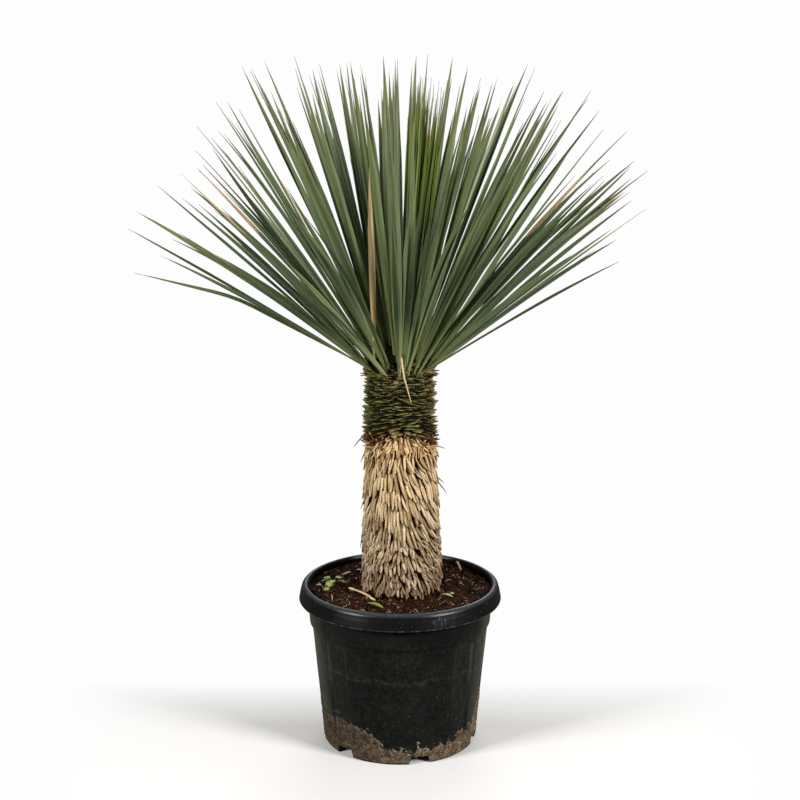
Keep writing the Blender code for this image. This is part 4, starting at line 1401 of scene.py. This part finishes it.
def add_stubs(name, turn, root, length, tilt, half_width, seed, finish, aside=0.0, slope=0.0):
    """Cut leaf bases: wedges with pointed ends. Each starts at its root, a (radius, height), points outwards
    and up by its tilt, runs aside by a share of its length, and lies across at the slope of its row."""
    rng = np.random.default_rng(seed)
    count = len(turn)
    along = np.linspace(0, 1, 6)
    radius, height = root
    reach = radius[:, None] + length[:, None] * along * np.cos(tilt)[:, None]
    level = height[:, None] + length[:, None] * along * np.sin(tilt)[:, None]
    drift = (aside + rng.normal(0, 0.16, count))[:, None] * length[:, None] * along / COLLAR_RADIUS
    path = facing(turn[:, None] + drift, reach, level)
    outward = facing(turn, 1.0, 0 * turn)
    sideways = joined(np.cos(turn), np.sin(turn), 0 * turn)
    upward = joined(0 * turn, 0 * turn, np.cos(tilt)) - outward * np.sin(tilt)[:, None]
    spots = facing(turn, COLLAR_RADIUS, height)
    wave = rng.normal(0, 0.10, count) + 0.12 * ripples(spots, 0.045, seed + 2) - slope
    upward = upward + sideways * wave[:, None]
    wide = half_width[:, None] * np.array([0.9, 1.0, 1.0, 0.90, 0.64, 0.15])
    thick = rng.uniform(*BASE_HALF_THICKNESS, count)[:, None] * np.array([1.2, 1.15, 1.1, 1.0, 0.85, 0.4])
    tone = np.clip(rng.normal(0.5, 0.28, count) + 0.15 * ripples(path[:, 0], 0.02, seed + 1), 0, 1)
    face = np.broadcast_to(upward[:, None], path.shape)
    add_strips(name, path, face, wide, thick, finish, "green_leaf_base", SLAT, tone=tone, crease=35)


def add_collar(finish):
    """Cut leaf bases in close wavy rows round the collar, and scattered ones between the leaves' feet."""
    rng = np.random.default_rng(41)
    row, place = in_rows(COLLAR_ROWS, BASES_AROUND)
    count = len(row)
    share = row / (COLLAR_ROWS - 1)
    turn = FULL_TURN * (place + 0.5 * (row % 2) + rng.normal(0, 0.20, count)) / BASES_AROUND
    edge = collar_edge(wrapped(turn))
    base = edge + (COLLAR_TOP - 0.002 - edge) * share
    arch_slope = -2 * COLLAR_ARCH * np.maximum(0, np.cos(turn)) * np.sin(turn) * (1 - share) / COLLAR_RADIUS
    waves = ripples(facing(turn, COLLAR_RADIUS, base), 0.05, 42)
    base = base + 0.0007 * rng.normal(size=count) + 0.0024 * waves
    bottom = smooth_step(0.28, 0.0, share)
    tilt = np.radians(9 + 5 * rng.normal(size=count) + 4 * share - 24 * bottom)
    length = rng.uniform(*BASE_LENGTH, count)
    root = (COLLAR_RADIUS - BASE_DEPTH - 0.0035 * share**3 + 0.004 * bottom, base)
    half_width = rng.uniform(*BASE_HALF_WIDTH, count) * (1 - 0.5 * bottom)
    aside = 1.2 * bottom * np.sin(turn + 0.2)
    slope = arch_slope - 0.5 * bottom * np.sin(turn)
    add_stubs("cut_leaf_bases", turn, root, length, tilt, half_width, 43, finish, aside, slope)
    turn = np.arange(FOOT_SCALES) * GOLDEN_ANGLE
    down = np.radians(rng.uniform(*SCALE_ROOTS, FOOT_SCALES))
    root = (DOME_RADIUS * np.sin(down) - 0.006, COLLAR_TOP + DOME_HEIGHT * np.cos(down) - 0.004)
    length = rng.uniform(*SCALE_LENGTH, FOOT_SCALES)
    tilt = math.pi / 2 - down + np.radians(rng.normal(18, 12, FOOT_SCALES))
    half_width = rng.uniform(*SCALE_HALF_WIDTH, FOOT_SCALES)
    add_stubs("leaf_foot_scales", turn, root, length, tilt, half_width, 45, finish)


# Crown


def width_share(share):
    """A leaf is narrow at its root, wide from its middle on, and ends in a needle."""
    swell = 0.36 + 0.64 * np.sin(math.pi / 2 * np.minimum(1, share / 0.58))
    return swell * np.minimum(1, (1.002 - share) / 0.33) ** 0.85


def dome_point(azimuth, root, gap=-ROOT_DEPTH):
    """A point on the dome, or off it along its normal by gap. Azimuth is from +X, and root is the angle down
    from the dome's top."""
    normal = unit(joined(np.sin(root) / DOME_RADIUS, 0 * root, np.cos(root) / DOME_HEIGHT))
    spot = joined(DOME_RADIUS * np.sin(root), 0 * root, COLLAR_TOP + DOME_HEIGHT * np.cos(root))
    spot = spot + gap * normal
    return joined(spot[..., 0] * np.cos(azimuth), spot[..., 0] * np.sin(azimuth), spot[..., 2])


def widest_lean(azimuth):
    """The oldest leaves' lean, which swings twice in a turn and is widest along the crown's broader axis."""
    return MEAN_SPREAD + SPREAD_SWING * np.cos(2 * (azimuth - SPREAD_AXIS))


def leaf_length(azimuth, lean):
    """Leaves are longest at a lean of 30 degrees, and a little longer on one side of the crown."""
    growth = 1 + LONG_SIDE_GROWTH * np.cos(azimuth - LONG_SIDE)
    return np.interp(np.degrees(lean), *zip(*LENGTHS)) * growth


def leaf_stance(azimuth, age, lowest_root=LOWEST_ROOT):
    """Lean and root of a leaf by its age from 0 to 1. Old leaves lean far out and grow low on the dome, and
    crowding lets fewer of them lean far out."""
    lean = np.arccos(1 - age**CROWDING * (1 - np.cos(widest_lean(azimuth))))
    root = np.arccos(1 - age * (1 - math.cos(lowest_root)))
    return lean, dome_point(azimuth, root)


def add_leaves(
    name, azimuth, lean, root, length, bend, half_width, finish, seed,
    node=None, youth=0.0, dry_from=None, roll=36, slot="leaf",
):
    """Blades that grow from the dome. Along a blade the lean grows by its bend and droops a little at the
    tip, the azimuth sways, and the face rolls round the blade from a random start."""
    rng = np.random.default_rng(seed)
    count = len(azimuth)
    share = np.linspace(0, 1, LEAF_STATIONS)
    middle = (share[1:] + share[:-1]) / 2
    droop = np.radians(rng.normal(0.5, 2.2, count))[:, None]
    sway = np.radians(rng.normal(0, 3.0, count))[:, None]
    over = lean[:, None] + bend[:, None] * middle + droop * middle**3
    way = azimuth[:, None] + sway * middle**2
    step = leaning(way, over) * (length / (LEAF_STATIONS - 1))[:, None, None]
    path = np.concatenate([root[:, None], root[:, None] + step.cumsum(1)], 1)
    sideways = joined(-np.sin(azimuth), np.cos(azimuth), 0 * azimuth)[:, None]
    inward = np.cross(unit(np.gradient(path, axis=1)), sideways)
    rolled, twist = (np.radians(rng.normal(0, swing, count))[:, None] for swing in (roll, 25))
    turned = rolled + twist * share
    face = inward * np.cos(turned)[..., None] + sideways * np.sin(turned)[..., None]
    wide = half_width[:, None] * width_share(share)
    thick = LEAF_HALF_THICKNESS * (0.35 + 0.9 * width_share(share))
    tone = np.clip(rng.normal(0.5, 0.28, count), 0, 1)
    if dry_from is None:
        dry_from = rng.uniform(0.95, 1.50, count)
    dry = smooth_step(-0.04, 0.05, share - dry_from[:, None])
    fold = rng.uniform(0.25, 0.70, count)[:, None]
    stands_for = [node] if node else ()
    return add_strips(name, path, face, wide, thick, finish, slot, fold=fold, tone=tone,
                      stands_for=stands_for, crease=22, youth=youth, dry=dry)


def cad_leaves():
    """Azimuth, age, spread in length, bend and half width of the solids' leaves, by the same rule."""
    rng = random.Random(7)
    rows = []
    for i in range(CAD_LEAVES):
        age = 1 - (i + 0.5) / CAD_LEAVES
        spread = rng.uniform(-LENGTH_SPREAD, LENGTH_SPREAD)
        bend = LEAF_BEND * age**2 * rng.uniform(*BEND_RANGE)
        half_width = LEAF_HALF_WIDTH * rng.uniform(0.9, 1.08)
        rows.append((CROWN_TURN + i * GOLDEN_ANGLE, age, spread, bend, half_width))
    return np.array(rows).T


def bundled(azimuth, lean, root, drawn_in):
    """Azimuths and leans of leaves drawn into uneven bundles, so that light comes through between them. A
    leaf turns about the front view's axis, towards the nearest bundle's middle round the collar's top. Leaves
    of the lower fringe turn up by their drawn_in, from 0 to 1."""
    way = leaning(azimuth, lean)
    rise = np.cross((1, 0, 0), FRONT_VIEW)
    middle = root + BUNDLE_REACH * way - (0, 0, COLLAR_TOP)
    seen = np.arctan2(middle[:, 0], middle @ rise)
    held = np.abs(seen) - (FRINGE_PULL + DRAWN_PULL * drawn_in) * np.maximum(np.abs(seen) - FRINGE, 0)
    turn = np.sign(seen) * held - seen
    rng = np.random.default_rng(57)
    middles = np.radians(rng.uniform(*BUNDLE_STEP, BUNDLES).cumsum())
    middles -= middles.mean()
    middles = middles[np.abs(middles) < CROWN_EDGE]
    pull = rng.uniform(*BUNDLE_PULL, BUNDLES)
    nearest = np.abs(seen[:, None] + turn[:, None] - middles).argmin(1)
    turn += pull[nearest] * (middles[nearest] - seen - turn)
    turn = turn[:, None]
    along = (way @ FRONT_VIEW)[:, None] * FRONT_VIEW
    way = along + (way - along) * np.cos(turn) + np.cross(FRONT_VIEW, way) * np.sin(turn)
    return np.arctan2(way[:, 1], way[:, 0]), np.arccos(way[:, 2])


def seen_angle(azimuth, lean):
    """The angle from upright, as seen from the front and positive to the right."""
    way = leaning(azimuth, lean)
    return np.arctan2(way[..., 0], way[..., 2])


def side_shortening(seen):
    """The share of their length that leaves keep. Bell curves take some off halfway up the left and low on
    the right."""
    left, right = (depth * np.exp(-(((seen - middle) / width) ** 2)) for middle, width, depth in SHORT_SIDES)
    return 1 - left - right


def held_in(box, root, azimuth, lean, length):
    """Lengths cut so that no tip leaves the box."""
    way = leaning(azimuth, lean)
    low, high = np.array(box[0]), np.array(box[1])
    room = np.where(way > 0, high - root, low - root) / np.where(np.abs(way) < 1e-6, 1e-6, way)
    return np.minimum(length, room.min(1) * ROOM_SHARE)


def add_crown(finish):
    """The leaves that stand for the solids', and the filling leaves between them. Both stand in a spiral of
    golden angles that is drawn into bundles. Fewer fill the airy side, and none hides the dead blade."""
    azimuth, age, spread, bend, half_width = cad_leaves()
    lean, root = leaf_stance(azimuth, age)
    azimuth, lean = bundled(azimuth, lean, root, 0)
    length = (leaf_length(azimuth, lean) + spread) * side_shortening(seen_angle(azimuth, lean))
    for i in range(CAD_LEAVES):
        one = slice(i, i + 1)
        add_leaves(f"blade_{i + 1:02d}", azimuth[one], lean[one], root[one], length[one], bend[one],
                   BLADE_WIDTH_SHARE * half_width[one], finish, 100 + i, f"leaf_{i + 1:02d}")
    rng = np.random.default_rng(52)
    number = np.arange(FILLING_LEAVES)
    age = 1 - (number + 0.5) / FILLING_LEAVES
    azimuth = number * GOLDEN_ANGLE + 1.9 + rng.normal(0, 0.10, FILLING_LEAVES)
    lean, root = leaf_stance(azimuth, age, FILLING_ROOT)
    lean = lean + np.radians(rng.normal(0, 2.0, FILLING_LEAVES))
    azimuth, lean = bundled(azimuth, lean, root, rng.random(FILLING_LEAVES))
    bend = LEAF_BEND * age**2 * rng.uniform(*BEND_RANGE, FILLING_LEAVES)
    length = leaf_length(azimuth, lean) + rng.uniform(*FILLING_REACH, FILLING_LEAVES)
    seen = seen_angle(azimuth, lean)
    length = length * side_shortening(seen)
    hides_tuft = (np.sin(azimuth) < 0) & (seen > TUFT_WINDOW[0]) & (seen < TUFT_WINDOW[1])
    length = np.where(hides_tuft, length * rng.uniform(*TUFT_SHARE, FILLING_LEAVES), length)
    length = held_in(cad_box, root, azimuth, lean + 0.5 * bend, length)
    half_width = LEAF_HALF_WIDTH * rng.uniform(*FILLING_WIDTH_SHARE, FILLING_LEAVES)
    middle = root + DEAD_WINDOW_REACH * leaning(azimuth, lean)
    in_window = (middle[:, 0] > DEAD_WINDOW[0]) & (middle[:, 0] < DEAD_WINDOW[1])
    hides_dead = in_window & (middle[:, 1] < DEAD_WINDOW_FRONT)
    number = number[((seen > AIRY_SIDE) | (rng.random(FILLING_LEAVES) < AIRY_SHARE)) & ~hides_dead]
    for i, group in enumerate(np.array_split(number, LEAF_GROUPS)):
        name = f"crown_leaves_{i + 1}"
        add_leaves(name, azimuth[group], lean[group], root[group], length[group], bend[group],
                   half_width[group], finish, 200 + i)


def add_outer_leaves(finish):
    """Separate leaves low on both sides: (azimuth and lean in degrees, length, half width)."""
    leaves = (
        (207, 56, 0.450, 0.0066),
        (210, 57, 0.400, 0.0052),
        (203, 51, 0.440, 0.0064),
        (192, 46, 0.425, 0.0060),
        (215, 52, 0.400, 0.0056),
        (313, 53, 0.370, 0.0064),
        (341, 46, 0.405, 0.0060),
        (322, 57, 0.395, 0.0052),
        (316, 54, 0.385, 0.0060),
        (334, 51, 0.365, 0.0062),
    )
    azimuth, lean, length, half_width = np.array(leaves).T
    azimuth, lean = np.radians(azimuth), np.radians(lean)
    root = dome_point(azimuth, np.full_like(lean, OUTER_ROOT))
    bend = np.full_like(lean, OUTER_BEND)
    add_leaves("outer_leaves", azimuth, lean, root, length, bend, half_width, finish, 65, roll=18)


def add_heart(finish):
    """The tight tuft of young yellow-green leaves in the middle, which leans a little right and forwards."""
    rng = np.random.default_rng(61)
    number = np.arange(HEART_LEAVES)
    turn = number * GOLDEN_ANGLE
    out = np.sqrt((number + 0.5) / HEART_LEAVES)
    around = joined(out * np.cos(turn), out * np.sin(turn))
    root = joined(*(HEART_ROOT[:2] + HEART_ROOT_SPREAD * around).T, collar_high.z + HEART_ROOT[2])
    way = joined(*(HEART_RISE[:2] + HEART_TOP_SPREAD * around).T, HEART_RISE[2] - HEART_ROUNDING * out**2)
    azimuth = np.arctan2(way[:, 1], way[:, 0])
    lean = np.arctan2(np.hypot(way[:, 0], way[:, 1]), way[:, 2])
    length = np.linalg.norm(way, axis=1) + rng.uniform(*HEART_LENGTH_SPREAD, HEART_LEAVES)
    share = np.linspace(0, 1, LEAF_STATIONS)
    width = LEAF_HALF_WIDTH * rng.uniform(*HEART_WIDTH_SHARE, HEART_LEAVES)
    youth = 0.3 + 0.7 * smooth_step(0.4, 0.7, share)
    add_leaves("heart_leaves", azimuth, lean, root, length, 0 * lean, width, finish, 62, youth=youth, roll=60)


def add_dry_leaves(finish):
    """Dead blades and blades with dead ends: (azimuth and lean in degrees, length, half width, dry from)."""
    blades = (
        (196, 44, 0.405, 0.0036, 0.66),
        (187, 41, 0.390, 0.0038, 0.66),
        (330, 41, 0.405, 0.0056, 0.64),
        (338, 47, 0.420, 0.0052, 0.70),
        (352, 52, 0.400, 0.0050, 0.80),
        (80, 38, 0.430, 0.0056, 0.55),
        (128, 47, 0.410, 0.0050, 0.68),
    )
    azimuth, lean, length, width, dry_from = np.array(blades).T
    azimuth, lean = np.radians(azimuth), np.radians(lean)
    root = dome_point(azimuth, np.minimum(1.6 * lean, LOWEST_ROOT))
    add_leaves("part_dry_leaves", azimuth, lean, root, length, 0 * lean, width, finish, 71, dry_from=dry_from,
               roll=30, slot="dry_leaf")
    azimuth, lean = np.radians([268.0]), np.radians([23.0])
    root = dome_point(np.radians([221.0]), np.radians([76.0]), 0)
    add_leaves("dead_blade", azimuth, lean, root, np.array([0.34]), 0 * lean, np.array([0.0050]), finish, 72,
               "dead_leaf", dry_from=np.array([-0.5]), roll=12, slot="dry_leaf")
    root = dome_point(np.radians([277.0]), np.radians([78.0]), 0)[0]
    hang = np.array([
        (0, 0, 0),
        (-0.003, -0.009, 0.012),
        (-0.005, -0.019, 0.026),
        (-0.004, -0.023, 0.018),
        (0.000, -0.024, -0.010),
        (0.006, -0.023, -0.032),
        (0.011, -0.021, -0.050),
    ])
    path = (root + hang)[None]
    width = 0.0016 * np.array([0.6, 0.8, 0.9, 1, 0.9, 0.7, 0.25])
    face = np.broadcast_to((0.3, -1.0, 0.4), path.shape)
    add_strips("dead_hanging_strand", path, face, width, width * 0.35, finish, "dry_leaf",
               tone=np.array([0.6]), stands_for=["dead_strand"], youth=0.0, dry=1.0)


def add_bent_leaf(finish):
    """A thin leaf, lowest of all, that bends outwards past its middle and runs on almost level."""
    azimuth = math.radians(194)
    share = np.linspace(0, 1, 20)
    over = np.radians(60 + 14 * smooth_step(0.48, 0.72, (share[1:] + share[:-1]) / 2))
    step = leaning(azimuth + 0 * over, over) * BENT_LENGTH / len(over)
    start = dome_point(np.array([azimuth]), np.radians([86.0]), 0)
    path = np.concatenate([start, start + step.cumsum(0)])[None]
    wide = 0.0040 * width_share(share)
    dry = smooth_step(0.90, 1.0, share)
    face = np.broadcast_to((0.2, -0.6, 0.8), path.shape)
    add_strips("folded_leaf", path, face, wide, 0.0006, finish, "leaf", fold=0.15,
               tone=np.array([0.95]), stands_for=["bent_leaf"], crease=22, youth=0.0, dry=dry)


# Studio


def add_floor():
    """A wide disc that takes soft shadows near the pot, and fades into the white of the room behind the pot
    and further out."""
    angles = even_turns(96)
    ring = facing(angles, FLOOR_RADIUS, 0 * angles)
    mesh = bpy.data.meshes.new("studio_floor")
    mesh.from_pydata(ring.tolist(), [], [list(range(len(ring)))])
    floor = bpy.data.objects.new("studio_floor", mesh)
    bpy.context.scene.collection.objects.link(floor)
    material, web, inputs = new_material("pale_floor")
    nodes = material.node_tree.nodes
    inputs["Base Color"].default_value = (0.635, 0.626, 0.615, 1)
    set_sheen(inputs, 0.9, 0.1)
    position = web.position()
    distance = web.spread(web.vector("LENGTH", position), 0.26, 0.60)
    behind = web.spread(web.axes(position)["Y"], 0.03, 0.21)
    glow = web.add("Emission", {"Color": (1, 1, 1, 1), "Strength": WHITE}).outputs[0]
    blend = web.add("MixShader", {"Fac": web.math("MAXIMUM", distance, behind)})
    web.put(blend.inputs[1], nodes["Principled BSDF"].outputs[0])
    web.put(blend.inputs[2], glow)
    web.put(nodes["Material Output"].inputs["Surface"], blend.outputs[0])
    mesh.materials.append(material)
    floor.visible_diffuse = False
    floor.visible_glossy = False


def add_lights():
    """Square softboxes, each turned towards a height on the plant's axis."""
    for name, place, aim, size, power in SOFTBOXES:
        lamp = bpy.data.lights.new(name, "AREA")
        lamp.shape = "SQUARE"
        lamp.size = size
        lamp.energy = power
        light = bpy.data.objects.new(name, lamp)
        light.location = place
        light.rotation_euler = (Vector((0, 0, aim)) - Vector(place)).to_track_quat("-Z", "Y").to_euler()
        bpy.context.scene.collection.objects.link(light)


def add_room_light():
    """The room is white to the camera, and lights the plant more softly than it looks."""
    world = bpy.data.worlds.new("white_room")
    world.use_nodes = True
    bpy.context.scene.world = world
    web = Web(world.node_tree)
    seen = web.add("LightPath").outputs["Is Camera Ray"]
    background = world.node_tree.nodes["Background"]
    background.inputs["Color"].default_value = (1, 1, 1, 1)
    web.put(background.inputs["Strength"], web.spread(seen, 0.0, 1.0, ROOM_LIGHT, WHITE))


def add_camera():
    """In front of the plant and above its middle, looking a little down."""
    lens = bpy.data.cameras.new("camera")
    lens.sensor_width = CAMERA_SENSOR
    lens.lens = CAMERA_LENS
    camera = bpy.data.objects.new("camera", lens)
    camera.location = (0, -CAMERA_DISTANCE, CAMERA_HEIGHT)
    camera.rotation_euler = (math.radians(90 - CAMERA_DIP), 0, 0)
    bpy.context.scene.collection.objects.link(camera)
    bpy.context.scene.camera = camera


fibre_grain = make_fibre_grain()
weathering = make_weathering()
leaf_finish = make_leaf_finish()
thatch_finish = make_thatch_finish()
shade_finish = make_shade_finish()
stick_finish = make_stick_finish()
weed_finish = make_weed_finish()

add_pot(make_pot_finish())
add_soil(make_soil_finish())
add_crumbs(make_crumb_finish())
add_fibres(stick_finish)
add_litter(stick_finish, weed_finish)
for seedling in SEEDLINGS:
    add_seedling(weed_finish, *seedling)

# The stem and the collar's inside take deep_shade: near-black painted shade that shows between the strips
add_core(shade_finish)
for tiers in THATCH:
    add_thatch(tiers, thatch_finish)
add_thatch(SLANTING_BASES, thatch_finish, collar_slant, 1)
add_strays(stick_finish)
add_collar(make_collar_finish())

add_crown(leaf_finish)
add_outer_leaves(leaf_finish)
add_heart(leaf_finish)
add_dry_leaves(leaf_finish)
add_bent_leaf(leaf_finish)

add_floor()
add_lights()
add_room_light()
add_camera()
bpy.context.scene.view_settings.view_transform = "Standard"
